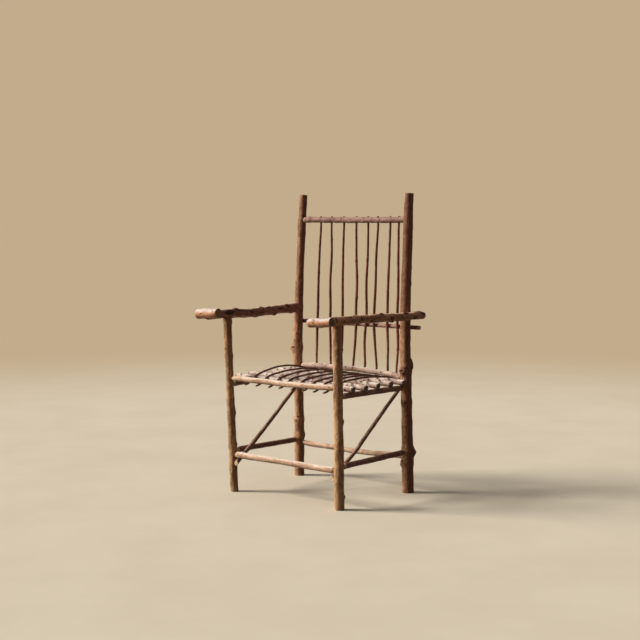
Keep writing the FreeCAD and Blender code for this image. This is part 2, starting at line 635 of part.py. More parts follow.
arm("arm_right", front_right, "RightArmHeight", "RightArmRadius", "RightGripAlong",
    "RightGripRadius", [
        ("RightArmBeside", "RightBackArmAlong - RightBackArmRadius / 2", "RightArmRear",
         "RightArmRadius * %s" % RIGHT_ARM_SHARES["beside"]),
        ("RightArmBeside", "RightBackArmAlong + RightBackArmRadius / 2", "RightArmRear",
         "RightArmRadius * %s" % RIGHT_ARM_SHARES["beside"]),
        ("RightArmTailAcross", "SeatDepth / 2 + RightArmTail",
         "RightArmRear - RightArmFall", "RightArmRadius * %s" % RIGHT_ARM_SHARES["tail"]),
    ])
hand_grip("hand_grip_left", "Left", front_left, "ArmHeight", "LeftArmRadius")
hand_grip("hand_grip_right", "Right", front_right, "RightArmHeight", "RightArmRadius")

# Seat logs. Five short logs lie across the side rails, one behind the other. For each log: its
# place between the first and the last, its radius over the left rail, between the rails and over
# the right rail, and how far it runs on past the left rail and the right one.
LOG_SHARES = [
    (0, 1.0, 0.97, 1.0, 1.0, 1.0),
    (0.245, 1.02, 0.98, 0.97, 1.0, 0.95),
    (0.52, 0.96, 1.0, 1.02, 0.9, 0.5),
    (0.775, 1.0, 0.96, 0.98, 0.8, 0.45),
    (1, 1.0, 1.0, 1.0, 0.7, 0.8),
]
place("LogFirst", "RightFrontSeatAlong + FirstLogInset")
place("LogLast", "SeatDepth / 2 - RightBackSeatRadius - LogRadius - LastLogGap")
for number, log_shares in enumerate(LOG_SHARES, 1):
    place_share, left_share, middle_share, right_share, left_end_share, right_end_share = log_shares
    name = "Log%d" % number
    along = place(name + "Along", mix("LogFirst", "LogLast", place_share))
    left_across, way = beside("Left", along)
    place(name + "LeftAcross", left_across)
    bow = "LeftRailBow * (1 - abs(2 * %s - 1))" % way
    left = place(name + "Left", "LeftRailHeight + %s + SideRailRadius + BearingGap + LogRadius * %s"
                 % (bow, left_share))
    right_across, way = beside("Right", along)
    place(name + "RightAcross", right_across)
    rail = mix("RightRailHeight", "RightRailRear", way)
    right = place(name + "Right", "%s + SideRailRadius + BearingGap + LogRadius * %s"
                  % (rail, right_share))
    left_radius = "LogRadius * %s" % left_share
    right_radius = "LogRadius * %s" % right_share
    sticks.append(Stick("seat_log_%d" % number, "across", [
        ("%sLeftAcross - LogOverhang * %s" % (name, left_end_share), along, left, left_radius),
        (name + "LeftAcross", along, left, left_radius),
        (mix(name + "LeftAcross", name + "RightAcross", MIDDLE_SHARE), along,
         mix(left, right, MIDDLE_SHARE), "LogRadius * %s" % middle_share),
        (name + "RightAcross", along, right, right_radius),
        ("%sRightAcross + LogOverhang * %s" % (name, right_end_share), along, right, right_radius),
    ]))

# Seat rods. Eight thin green rods are sprung from front to back: under the front rail, over the
# first and the last log and under the rear rail, so that they arch over the logs between. Each row
# of a rod: its place across at the front and at the rear, as shares of half the front and half the
# back span, and its arch as a share of the rise.
ROD_SHARES = [
    (-0.69, -0.805, 1.3),
    (-0.475, -0.57, 0.74),
    (-0.236, -0.335, 0.78),
    (-0.035, -0.11, 0.6),
    (0.195, 0.12, 0.62),
    (0.405, 0.335, 0.58),
    (0.6, 0.535, 0.64),
    (0.785, 0.745, 0.7),
]
# Along the arch: the place between the first and the last log and the share of the rise there.
ARCH_SHARES = [(0.17, 0.56), (0.4, 0.97), (0.62, 0.95), (0.84, 0.54)]
ARCH_SLOPE_SHARE = 3.4
ROD_TAPER_SHARES = {"tip": 0.85, "first": 1, "last": 0.95, "rear": 0.9, "tail": 0.8}
place("RodUnderFront", "FrontRailRadius + RodRadius + BearingGap")
place("RodOverLog", "LogRadius + RodRadius + BearingGap")
place("RodUnderRear", "RearRailRadius + RodRadius + BearingGap")
place("RodTipSlope", "atan2(RodTipDrop; RodTip) / 1 deg")
place("RodTailSlope", "atan2(RodTailDrop; RodTail) / 1 deg")
place("FrontRailAlong", mix("LeftFrontSeatAlong", "RightFrontSeatAlong", MIDDLE_SHARE))
place("FrontRailLow", "SeatHeight - FrontRailSag")


def corner(along, height, reach, slope_in, slope_out, side):
    """The corner of a rod that bends round a bar, between two slopes in degrees.

    side is 1 where the rod goes over the bar and -1 where it goes under.
    """
    middle = "(%s + %s) / 2" % (slope_in, slope_out)
    out = "%d * %s / cos((%s - %s) / 2)" % (side, reach, slope_in, slope_out)
    return ("%s - %s * sin(%s)" % (along, out, middle), "%s + %s * cos(%s)" % (height, out, middle))


def rod_across(along):
    """How far across the rod in hand is at a place along."""
    way = "((%s - FrontRailAlong) / (SeatDepth / 2 - FrontRailAlong))" % along
    return mix(front_across, rear_across, way)


for number, (front_share, rear_share, rise_share) in enumerate(ROD_SHARES, 1):
    name = "Rod%d" % number
    front_across = place(name + "Front", "FrontSpan / 2 * %s" % front_share)
    rear_across = place(name + "Rear", "BackSpan / 2 * %s" % rear_share)
    first_log, last_log = [
        place("%sOver%s" % (name, log), mix(log + "Left", log + "Right", "((%s - %sLeftAcross)"
                                            " / (%sRightAcross - %sLeftAcross))"
                                            % (rod_across(along), log, log, log)))
        for log, along in (("Log1", "LogFirst"), ("Log5", "LogLast"))]
    rear_height = place(name + "RearRail", rear_rail_height(rear_across))
    climb = place(name + "Climb", "(asin((RodUnderFront + RodOverLog)"
                  " / hypot(LogFirst - FrontRailAlong; %s - FrontRailLow))"
                  " + atan2(%s - FrontRailLow; LogFirst - FrontRailAlong)) / 1 deg"
                  % (first_log, first_log))
    dive = place(name + "Dive", "(atan2(%s - %s; SeatDepth / 2 - LogLast)"
                 " - asin((RodUnderRear + RodOverLog)"
                 " / hypot(SeatDepth / 2 - LogLast; %s - %s))) / 1 deg"
                 % (rear_height, last_log, rear_height, last_log))
    arch = place(name + "Slope", "atan2(%s * %s * RodRise; LogLast - LogFirst) / 1 deg"
                 % (ARCH_SLOPE_SHARE, rise_share))
    front = corner("FrontRailAlong", "FrontRailLow", "RodUnderFront", "RodTipSlope", climb, -1)
    first = corner("LogFirst", first_log, "RodOverLog", climb, arch, 1)
    last = corner("LogLast", last_log, "RodOverLog", "-1 * " + arch, dive, 1)
    rear = corner("SeatDepth / 2", rear_height, "RodUnderRear", dive, "-1 * RodTailSlope", -1)
    path = [("%s - RodTip" % front[0], "%s - RodTipDrop" % front[1], ROD_TAPER_SHARES["tip"]),
            front + (1,), first + (ROD_TAPER_SHARES["first"],)]
    for along_share, lift_share in ARCH_SHARES:
        path.append((mix(first[0], last[0], along_share),
                     "%s + RodRise * %s * %s" % (mix(first[1], last[1], along_share), rise_share,
                                                 lift_share),
                     ROD_TAPER_SHARES["first"]))
    path += [last + (ROD_TAPER_SHARES["last"],), rear + (ROD_TAPER_SHARES["rear"],),
             ("%s + RodTail" % rear[0], "%s - RodTailDrop" % rear[1], ROD_TAPER_SHARES["tail"])]
    stations = []
    for along, height, taper_share in path:
        stations.append((rod_across(along), along, height, "RodRadius * %s" % taper_share))
    sticks.append(Stick("seat_rod_%d" % number, "along", stations))

# Back spindles. Eight thin whips stand in holes bored in the rear seat rail, spring back against
# the middle rail and go up through holes in the top rail.
place("TopRailAlong", "LeftBackCrestAlong")
for number, (low_share, middle_share, top_share) in enumerate(SPINDLE_SHARES, 1):
    name = "Spindle%d" % number
    low = name + "Low"
    height = name + "Rail"
    middle = place(name + "Middle", "BackSpan / 2 * %s" % middle_share)
    top = place(name + "Top", "BackSpan / 2 * %s" % top_share)
    against = place(name + "Against", "%s - MidRailRadius - SpindleRadius - BearingGap" % mix(
        "MidRailLeftAlong", "MidRailRightAlong", "(%s + BackSpan / 2) / BackSpan" % middle))
    tenon = "SpindleRadius * %s" % SPINDLE_TENON_SHARE
    sticks.append(Stick("back_spindle_%d" % number, "up", [
        (low, "SeatDepth / 2", "%s - SpindleSeat" % height, tenon),
        (low, "SeatDepth / 2", "%s + RearRailRadius + BearingGap" % height, tenon),
        (middle, against, "MidRailHeight", "SpindleRadius"),
        (top, "TopRailAlong", "TopRailHeight - TopRailRadius - BearingGap", tenon),
        (top, "TopRailAlong", "TopRailHeight + TopRailRadius + SpindleProud", tenon),
    ]))
    rear_rail.bore("hole_for_spindle_%d" % number,
                   (low, "SeatDepth / 2", "%s - SpindleSeat - BottomGap" % height), "up", 1,
                   "SpindleHole", "Overrun")
    top_rail.bore("hole_for_spindle_%d" % number,
                  (top, "TopRailAlong", "TopRailHeight - Overrun"), "up", 1,
                  "SpindleHole", "2 * Overrun")

# Diagonal braces. Each lies against the inner side of its front and back post, from just over the
# floor up to the seat. The brace is built upright and turned down by its slope, and its lower end
# is sawn upright.
BRACE_SHARES = {"middle": 0.93, "heel": 0.86}
SAG_PLACE_SHARES = {"Left": 0.5, "Right": 0.3}
X_AXIS = FreeCAD.Vector(1, 0, 0)


def brace(label, prefix, side):
    """side is -1 for the left brace and 1 for the right one."""
    low = place(prefix + "BraceLow", "%sFrontStretcherAcross"
                " - %d * (%sFrontStretcherRadius + BraceRadius + BearingGap)"
                % (prefix, side, prefix))
    high = place(prefix + "BraceHigh", "%sBackSeatAcross"
                 " - %d * (%sBackSeatRadius + BraceRadius * %s + BearingGap)"
                 % (prefix, side, prefix, BRACE_SHARES["heel"]))
    toe = place(prefix + "BraceToe", "%sFrontStretcherAlong - BraceToe" % prefix)
    slope = place(prefix + "BraceSlope", "atan2(BraceTop - %sBraceFoot; SeatDepth / 2 - %s) / 1 deg"
                  % (prefix, toe))
    length = place(prefix + "BraceLength",
                   "(SeatDepth / 2 + BraceHeel - %s) / cos(%s)" % (toe, slope))
    sag_place = SAG_PLACE_SHARES[prefix]
    body = doc.addObject("PartDesign::Body", label)
    body.Label = label
    body.Placement.Rotation = FreeCAD.Rotation(X_AXIS, 1)
    bind(body, "Placement.Base.x", "%s - CentreAcross" % low)
    bind(body, "Placement.Base.y", "%s - CentreAlong" % toe)
    bind(body, "Placement.Base.z", prefix + "BraceFoot")
    bind(body, "Placement.Rotation.Angle", "%s - 90" % slope)
    rows = [
        ("0", "0", "-2 * BraceRadius", "BraceRadius"),
        ("0", "0", "2 * BraceRadius", "BraceRadius"),
        ("(%s - %s) * %s" % (high, low, sag_place), prefix + "BraceSag",
         "%s * %s" % (length, sag_place), "BraceRadius * %s" % BRACE_SHARES["middle"]),
        ("%s - %s" % (high, low), "0", length, "BraceRadius * %s" % BRACE_SHARES["heel"]),
    ]
    loft(body, [round_section(body, "%s_section_%d" % (label, number), "XY_Plane",
                              (across, sag, far), radius)
                for number, (across, sag, far, radius) in enumerate(rows)])
    saw = body.newObject("PartDesign::SubtractiveBox", label + "_sawn_toe")
    saw.Placement.Rotation = FreeCAD.Rotation(X_AXIS, 1)
    for measure in ("Length", "Width", "Height"):
        bind(saw, measure, "2 * Overrun")
    bind(saw, "Placement.Rotation.Angle", "90 - %s" % slope)
    bind(saw, "Placement.Base.x", "0 - Overrun")
    bind(saw, "Placement.Base.y", "Overrun * cos(%s) - 2 * Overrun * sin(%s)" % (slope, slope))
    bind(saw, "Placement.Base.z", "0 - 2 * Overrun * cos(%s) - Overrun * sin(%s)" % (slope, slope))
    return body


braces = [brace("diagonal_brace_left", "Left", -1), brace("diagonal_brace_right", "Right", 1)]

# The box runs from the end of the left grip to the side of the right arm's tail or the end of the
# middle rail, and from the front of the left grip to the end of the right arm.
place("MidRailEnd", "RightBackMiddleAcross + MidRailRightEnd")
place("RightArmSide", "RightArmTailAcross + RightArmRadius * %s" % RIGHT_ARM_SHARES["tail"])
bind(places, "CentreAcross",
     "(LeftFrontTopAcross - LeftGripLength / 2 + max(MidRailEnd; RightArmSide)) / 2")
bind(places, "CentreAlong", "(LeftGripAlong - LeftGripRadius + SeatDepth / 2 + RightArmTail) / 2")
doc.recompute()

# Nothing is written unless every feature was made and every stick is one valid solid.
failed = [thing.Name for thing in doc.Objects
          if "Invalid" in thing.State or "Error" in thing.State]
if failed:
    raise RuntimeError("not made: " + ", ".join(failed))
bodies = [stick.body for stick in sticks] + braces
for body in bodies:
    if body.Shape.isNull() or not body.Shape.isValid() or len(body.Shape.Solids) != 1:
        raise RuntimeError("%s is not one sound solid" % body.Label)
os.makedirs("parts", exist_ok=True)
for body in bodies:
    body.Shape.exportStep("parts/%s.step" % body.Label)
print("%d sticks written" % len(bodies))
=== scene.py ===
import math

import bpy
import numpy as np
from mathutils import Matrix, Vector


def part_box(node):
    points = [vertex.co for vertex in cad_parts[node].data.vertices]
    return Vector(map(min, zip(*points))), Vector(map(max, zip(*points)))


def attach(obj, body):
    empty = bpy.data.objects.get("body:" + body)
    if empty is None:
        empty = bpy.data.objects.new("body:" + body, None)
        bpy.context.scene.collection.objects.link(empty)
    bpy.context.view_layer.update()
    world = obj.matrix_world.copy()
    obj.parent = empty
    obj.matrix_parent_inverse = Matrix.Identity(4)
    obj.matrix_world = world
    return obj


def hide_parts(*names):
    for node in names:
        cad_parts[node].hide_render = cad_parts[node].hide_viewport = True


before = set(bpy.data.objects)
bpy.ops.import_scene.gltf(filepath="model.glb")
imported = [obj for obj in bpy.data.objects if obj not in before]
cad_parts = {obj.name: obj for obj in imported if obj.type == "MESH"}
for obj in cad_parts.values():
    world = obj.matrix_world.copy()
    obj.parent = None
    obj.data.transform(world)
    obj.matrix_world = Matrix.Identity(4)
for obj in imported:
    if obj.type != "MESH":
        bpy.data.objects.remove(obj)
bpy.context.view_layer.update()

# Front posts. Two poles with the bark on, sawn square at the floor. Their tops go up into the arms.
# Low knots and sawn branch stubs are left on the outer sides, as they grew.

MM = 0.001
RING_STEP = 3 * MM
CIRCLE_POINTS = 48
FULL_TURN = 2 * math.pi


class Value:
    """One output of a finish's nodes. Sums and products of such values add Math nodes."""

    def __init__(self, finish, socket):
        self.finish = finish
        self.socket = socket

    def maths(self, operation, first, second):
        return self.finish.node("ShaderNodeMath", {"operation": operation}, {0: first, 1: second})

    def __add__(self, other):
        return self.maths("ADD", self, other)

    def __sub__(self, other):
        return self.maths("SUBTRACT", self, other)

    def __rsub__(self, other):
        return self.maths("SUBTRACT", other, self)

    def __mul__(self, other):
        return self.maths("MULTIPLY", self, other)

    def larger(self, other):
        return self.maths("MAXIMUM", self, other)

    def between(self, low, high):
        """0 at low, 1 at high and a smooth step from one to the other."""
        return self.finish.node("ShaderNodeMapRange", {"interpolation_type": "SMOOTHSTEP"},
                                {"Value": self, "From Min": low, "From Max": high})


class Finish:
    """The nodes of a material, or of the world, and the one method that adds to them."""

    def __init__(self, name, world=None):
        self.material = world or bpy.data.materials.new(name)
        self.material.use_nodes = True
        self.tree = self.material.node_tree
        self.shader = self.tree.nodes.get("Principled BSDF")

    def node(self, kind, settings, sockets, output=0):
        made = self.tree.nodes.new(kind)
        for name, setting in settings.items():
            setattr(made, name, setting)
        for name, value in sockets.items():
            self.feed(made.inputs[name], value)
        return Value(self, made.outputs[output])

    def feed(self, socket, value):
        if isinstance(value, Value):
            self.tree.links.new(value.socket, socket)
        else:
            socket.default_value = value

    def mix(self, share, first, second):
        return self.node("ShaderNodeMix", {"data_type": "RGBA"},
                         {0: share, 6: first, 7: second}, output=2)

    def looked_at(self):
        """1 where the eye sees the surface, directly or in gloss or glass, and 0 elsewhere."""
        paths = [self.node("ShaderNodeLightPath", {}, {}, "Is %s Ray" % kind)
                 for kind in ("Camera", "Glossy", "Transmission")]
        return paths[0].larger(paths[1]).larger(paths[2])

    def written(self, name, output):
        """A value that the mesh carries at each of its points."""
        return self.node("ShaderNodeAttribute", {"attribute_name": name}, {}, output)

    def stretched(self, vector, across, along):
        return self.node("ShaderNodeVectorMath", {"operation": "MULTIPLY"},
                         {0: vector, 1: (across, across, along)})

    def noise(self, vector, detail, roughness=0.5, distortion=0.0):
        return self.node("ShaderNodeTexNoise", {},
                         {"Vector": vector, "Scale": 1.0, "Detail": detail,
                          "Roughness": roughness, "Distortion": distortion})


def shade(red, green, blue):
    """A colour as seen on a screen, from 0 to 255, as the light that it sends back."""
    seen = np.array([red, green, blue]) / 255
    sent = np.where(seen < 0.04045, seen / 12.92, ((seen + 0.055) / 1.055) ** 2.4)
    return (*sent.tolist(), 1.0)


WOOD = shade(248, 228, 198)
WOOD_STAINED = shade(216, 178, 140)


def bark_finish(name, pale, middle, deep, knot, highlight, blotches=0.65, streaks=0.5, pores=0.4,
                roughness=0.58, shaded=None):
    """Bark with blotches, streaks, raised pores, dark knots, painted highlights, painted shade
    and whittled wood.

    The last colour is that of the painted shade, which the bark turns to where its darkness has
    been painted in.
    """
    finish = Finish(name)
    grain = finish.written("grain", "Vector")
    tone_and_shade = finish.written("tone_and_shade", "Fac")
    knots = finish.written("knot", "Fac")
    whittled = finish.written("whittled", "Fac")
    painted_light = finish.written("painted_light", "Fac")

    # The two numbers of each pattern say how many of its features a metre of bark has, across and
    # along the twig.
    cloud = finish.noise(finish.stretched(grain, 34, 13), 4.0, 0.62, 0.4)
    patch = finish.noise(finish.stretched(grain, 62, 34), 5.0, 0.7, 0.8)
    flake = finish.noise(finish.stretched(grain, 170, 95), 3.0, 0.7, 1.2)
    streak = finish.noise(finish.stretched(grain, 420, 21), 4.0, 0.6, 0.3)
    fibre = finish.noise(finish.stretched(grain, 1500, 95), 2.0, 0.6)
    speck = finish.noise(finish.stretched(grain, 900, 700), 2.0, 0.7)
    pore = finish.node("ShaderNodeTexVoronoi", {"feature": "F1"},
                       {"Vector": finish.stretched(grain, 150, 330), "Scale": 1.0,
                        "Randomness": 1.0}, "Distance")
    pore_mask = 1 - pore.between(0.14, 0.30)

    colour = finish.mix((cloud + tone_and_shade).between(0.40, 0.57), deep, middle)
    colour = finish.mix(streak.between(0.44, 0.68) * streaks, colour, pale)
    colour = finish.mix(flake.between(0.50, 0.62) * 0.45, colour, pale)
    colour = finish.mix(patch.between(0.50, 0.60) * blotches, colour, deep)
    # Painted highlight: the bark turns pale along the side marked as lit, broken up by the flake
    # and cloud patterns.
    highlight_mask = (painted_light + (flake - 0.5) * 0.9 + (cloud - 0.5) * 0.6).between(0.35, 0.65)
    colour = finish.mix(highlight_mask * 0.85, colour, highlight)
    colour = finish.mix(fibre.between(0.35, 0.7) * 0.22, colour, pale)
    colour = finish.mix(pore_mask * pores, colour, pale)
    colour = finish.mix(speck.between(0.62, 0.8) * 0.35, colour, deep)
    # Painted shade: the bark turns to the shade colour where its darkness value has been lowered.
    colour = finish.mix((0 - tone_and_shade).between(0.06, 0.24) * 0.65, colour, shaded or deep)
    ragged = knots + (patch - 0.5) * 0.5 * knots.between(0.02, 0.3)
    colour = finish.mix(ragged.between(0.12, 0.75) * 0.9, colour, knot)

    chips = (whittled + (streak - 0.5) * 0.35).between(0.42, 0.56)
    wood = finish.mix(streak.between(0.3, 0.75), WOOD_STAINED, WOOD)
    colour = finish.mix(chips, colour, wood)

    finish.feed(finish.shader.inputs["Base Color"], colour)
    rough = (streak - 0.5) * 0.22 + knots * 0.15 + chips * 0.12 + roughness
    finish.feed(finish.shader.inputs["Roughness"], rough)
    finish.shader.inputs["Specular IOR Level"].default_value = 0.22
    height = (streak * 0.55 + fibre * 0.35 + patch * 0.5 + pore_mask * 0.4 + speck * 0.12
              + ragged * 0.3)
    bump = finish.node("ShaderNodeBump", {}, {"Height": height, "Strength": 1.0,
                                              "Distance": 1.1 * MM}, "Normal")
    finish.feed(finish.shader.inputs["Normal"], bump)
    return finish.material


def sawn_finish(name, fresh, ring, rim):
    """A sawn end: year rings round a brown pith, checks, saw marks and a dark line of bark."""
    finish = Finish(name)
    grain = finish.written("grain", "Vector")
    depth = finish.written("depth", "Fac")
    flat = finish.stretched(grain, 1, 0)
    wobble = finish.noise(finish.stretched(grain, 160, 0), 2.0)
    reach = finish.node("ShaderNodeVectorMath", {"operation": "LENGTH"}, {0: flat}, "Value")
    rings = finish.node("ShaderNodeMath", {"operation": "SINE"},
                        {0: reach * 4200 + wobble * 9}) * 0.5 + 0.5
    heading = finish.node("ShaderNodeVectorMath", {"operation": "NORMALIZE"}, {0: flat})
    rays = finish.noise(finish.stretched(heading, 5.5, 0), 3.0, 0.7)
    dark_patch = finish.noise(finish.stretched(grain, 90, 0), 3.0, 0.6)
    saw = finish.node("ShaderNodeTexWave", {"bands_direction": "DIAGONAL"},
                      {"Vector": flat, "Scale": 260.0, "Distortion": 3.0, "Detail": 2.0}, "Fac")
    checks = rays.between(0.60, 0.66) * depth.between(0.1, 0.5)
    pith = 1 - (depth + (wobble - 0.5) * 0.06).between(0.07, 0.15)
    bark = (depth + (dark_patch - 0.5) * 0.08).between(0.90, 0.95)

    colour = finish.mix(rings * 0.55, fresh, ring)
    colour = finish.mix(dark_patch.between(0.42, 0.75) * 0.6, colour, ring)
    colour = finish.mix(checks * 0.85, colour, rim)
    colour = finish.mix(pith * 0.9, colour, rim)
    colour = finish.mix(bark, colour, rim)
    finish.feed(finish.shader.inputs["Base Color"], colour)
    finish.feed(finish.shader.inputs["Roughness"], rings * 0.1 + 0.68)
    bump = finish.node("ShaderNodeBump", {},
                       {"Height": rings * 0.3 + saw * 0.3 - checks * 2.0 - pith,
                        "Strength": 0.6, "Distance": 0.4 * MM}, "Normal")
    finish.feed(finish.shader.inputs["Normal"], bump)
    return finish.material


# The axis that a twig runs along, and the direction from which turns round it are counted.
HEADINGS = {"across": (0, Vector((0, 0, 1))), "along": (1, Vector((0, 0, 1))),
            "up": (2, Vector((1, 0, 0)))}
CIRCLE_TRIALS = 5
CIRCLE_TOLERANCE = 0.05 * MM


def circle_through(flat):
    """Centre and radius of the circle that most of the points of a section lie on."""
    kept = flat
    for trial in range(CIRCLE_TRIALS):
        system = np.column_stack([2 * kept, np.ones(len(kept))])
        answer = np.linalg.lstsq(system, (kept ** 2).sum(1), rcond=None)[0]
        centre = answer[:2]
        radius = math.sqrt(max(answer[2] + (centre ** 2).sum(), 1e-9))
        misses = np.abs(np.linalg.norm(flat - centre, axis=1) - radius)
        kept = flat[misses <= max(2 * np.median(misses), CIRCLE_TOLERANCE)]
    return centre, radius


def sections(node, heading, low, high, count):
    """Centres and radii of a CAD stick, cut square to its heading at even places."""
    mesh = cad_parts[node].data
    points = np.empty(3 * len(mesh.vertices))
    mesh.vertices.foreach_get("co", points)
    points = points.reshape(-1, 3)
    ends = np.empty(2 * len(mesh.edges), int)
    mesh.edges.foreach_get("vertices", ends)
    start, stop = points[ends[0::2]], points[ends[1::2]]
    axis = HEADINGS[heading][0]
    others = [other for other in range(3) if other != axis]
    centres = np.empty((count, 3))
    radii = np.empty(count)
    places = np.linspace(low, high, count)
    for row, place in enumerate(places):
        before = start[:, axis] - place
        after = stop[:, axis] - place
        crossed = before * after < 0
        share = (before[crossed] / (before[crossed] - after[crossed]))[:, None]
        cut = start[crossed] + share * (stop[crossed] - start[crossed])
        centre, radii[row] = circle_through(cut[:, others])
        centres[row, others] = centre
        centres[row, axis] = place
    return places, centres, radii


def eased(rows, reach):
    """Rows of values with their corners rounded off over some rows to each side."""
    weights = np.hanning(2 * reach + 3)[1:-1]
    weights /= weights.sum()
    first = 2 * rows[0] - rows[reach:0:-1]
    last = 2 * rows[-1] - rows[-2:-reach - 2:-1]
    padded = np.concatenate([first, rows, last])
    return np.stack([np.convolve(column, weights, "valid") for column in padded.T], axis=1)


def lumps(dice, along, around, length, count):
    """Smooth random relief from -1 to 1: lumps of a length along a twig, and a count round it."""
    heights = dice.uniform(-1, 1, (int(along.max() / length) + 3, count))
    down = along[:, None] / length
    side = around[None, :] * count
    row = np.floor(down).astype(int)
    column = np.floor(side).astype(int)
    u = down - row
    v = side - column
    u = u * u * (3 - 2 * u)
    v = v * v * (3 - 2 * v)
    near = heights[row, column % count] * (1 - v) + heights[row, (column + 1) % count] * v
    far = heights[row + 1, column % count] * (1 - v) + heights[row + 1, (column + 1) % count] * v
    return near * (1 - u) + far * u


class Stick:
    """A twig with its bark relief, laid along the centre line of its CAD solid.

    sound is how far in from each end of the solid its sections are whole circles, and reach how
    far past the solid's own ends the twig runs, negative where it stops short. laid holds every
    twig that is made, by the name of its CAD node.
    """

    CUTS = 90
    FINE_CUTS = 400
    STUB_CIRCLE = 20
    STUB_LEAN = 0.25
    FACETS = 7
    laid = {}

    def __init__(self, node, heading, sound=(2 * MM, 2 * MM), reach=(0, 0), ease=6,
                 circle=CIRCLE_POINTS):
        self.node = node
        axis, self.top = HEADINGS[heading]
        low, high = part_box(node)
        places, centres, radii = sections(node, heading, low[axis] + sound[0],
                                          high[axis] - sound[1], self.CUTS)
        wide = eased(np.column_stack([centres, radii]), ease)
        inner = np.linspace(low[axis] - reach[0], high[axis] + reach[1], self.FINE_CUTS)
        rows = np.column_stack([extended(inner, places, column) for column in wide.T])
        steps = np.linalg.norm(np.diff(rows[:, :3], axis=0), axis=1)
        run = np.concatenate([[0], np.cumsum(steps)])
        self.length = run[-1]
        self.run = np.linspace(0, self.length, max(int(self.length / RING_STEP), 4) + 1)
        laid = np.column_stack([np.interp(self.run, run, column) for column in rows.T])
        self.line = laid[:, :3]
        self.radius = laid[:, 3]
        self.circle = circle
        self.around = np.arange(circle) / circle
        self.relief = np.zeros((len(self.run), circle))
        self.knots = np.zeros_like(self.relief)
        self.whittled = np.zeros_like(self.relief)
        self.painted_light = np.zeros_like(self.relief)
        self.stubs = []
        self.sawn_upright = False
        self.dice = np.random.default_rng(sum(map(ord, node)) * 7 + len(node))
        self.start = self.dice.uniform(0, 4)
        # Each twig's own random darkness; the painted shade lowers it further in places.
        self.tone_and_shade = np.full_like(self.relief, self.dice.uniform(-0.06, 0.06))

    def at_height(self, height):
        """The run along an upright twig at a height above the floor."""
        return float(np.interp(height, self.line[:, 2], self.run))

    def crook(self, amount, length):
        """Lets the twig wander off its line between its ends."""
        sway = lumps(self.dice, self.run, np.array([0.0]), length, 2)[:, 0]
        nod = lumps(self.dice, self.run, np.array([0.0]), length, 2)[:, 0]
        hold = np.clip(np.minimum(self.run, self.length - self.run) / (0.4 * length), 0, 1)
        side, front = self.axes()[1:]
        self.line = self.line + (amount * hold)[:, None] * (sway[:, None] * side
                                                            + nod[:, None] * front)

    def roughen(self, amount, length, count):
        """Adds lumps of bark; amount is their height."""
        self.relief += amount * lumps(self.dice, self.run, self.around, length, count)

    def bark(self, coarse=1.0):
        """The usual relief of bark: not quite round, lumpy, with fine ridges along the twig."""
        size = self.radius.mean()
        self.roughen(0.040 * size * coarse, 7 * size, 2)
        self.roughen(0.040 * size * coarse, 3 * size, 4)
        self.roughen(0.030 * size * coarse, 1.3 * size, 8)
        self.roughen(0.018 * size * coarse, 0.6 * size, 14)

    def knot(self, run, turn, height, width, hollow=0.0, dark=1.0):
        """Swells the bark at a grown-over branch, with a sunk eye where hollow is over 0."""
        wobble = lumps(self.dice, self.run, self.around, 0.7 * width, 9)
        along = (self.run - run)[:, None] / width
        away = (self.around[None, :] - turn + 0.5) % 1 - 0.5
        side = away * FULL_TURN * self.radius[:, None] / (0.85 * width)
        distance = (along ** 2 + side ** 2) * (1 + 0.35 * wobble)
        self.relief += height * (np.exp(-distance) - hollow * np.exp(-distance / 0.16))
        self.relief += 0.22 * height * np.exp(-(along / 1.9) ** 2)
        self.knots = np.maximum(self.knots, dark * np.exp(-distance / 0.4))

    def burl(self, run, turn, height, width):
        """A grown-over whorl: uneven lobes round one place, with dark creases between them."""
        for lobe in range(5):
            shift = self.dice.uniform(-0.75, 0.75, 2) * width
            self.knot(run + shift[0], turn + shift[1] / (FULL_TURN * self.radius.mean()),
                      height * self.dice.uniform(0.5, 0.9), width * self.dice.uniform(0.35, 0.6),
                      self.dice.uniform(0.1, 0.9), self.dice.uniform(0.15, 0.6))

    def scatter_knots(self, count, height, width, dark=0.8):
        """Small knots at random, spread evenly along the twig."""
        for number in range(count):
            run = self.length * (number + self.dice.uniform(0.2, 0.8)) / count
            self.knot(run, self.dice.uniform(), height * self.dice.uniform(0.5, 1.2),
                      width * self.dice.uniform(0.7, 1.2), self.dice.uniform(0.2, 1.1), dark)

    def stub(self, run, turn, radius, proud):
        """A branch sawn or snapped off close to the twig."""
        self.knot(run, turn, 0.5 * radius, 1.9 * radius, 0, 0.5)
        self.stubs.append((run, turn, radius, proud))

    def whittle(self, end, start, length, share, peeled, sliver):
        """Shaves an end to a tenon in flat facets; peeled is how far the bark is off past it.

        sliver is how much further the bark is off along the top.
        """
        away = self.run if end == 0 else self.length - self.run
        cut = 1 - np.clip((away - start) / length, 0, 1)
        cut = cut * cut * (3 - 2 * cut)
        facets = self.FACETS
        turned = (self.around + self.dice.uniform()) * facets
        flat = np.cos(math.pi / facets) / np.cos((turned % 1 - 0.5) * FULL_TURN / facets)
        strokes = self.dice.uniform(-0.06, 0.06, facets)[np.floor(turned).astype(int) % facets]
        shaved = self.radius[:, None] * ((1 + 0.7 * (flat - 1) + strokes)[None, :] * share - 1)
        self.relief = self.relief * (1 - cut[:, None]) + shaved * cut[:, None]
        slivers = 0.5 * lumps(self.dice, self.run, self.around, 40 * MM, 6)
        peeled = peeled * (1 + slivers) + sliver * np.exp(-((self.around - 0.12) / 0.12) ** 2)
        bare = np.clip((start + peeled - away[:, None]) / (4 * MM) + 0.5, 0, 1)
        self.whittled = np.maximum(self.whittled, bare)

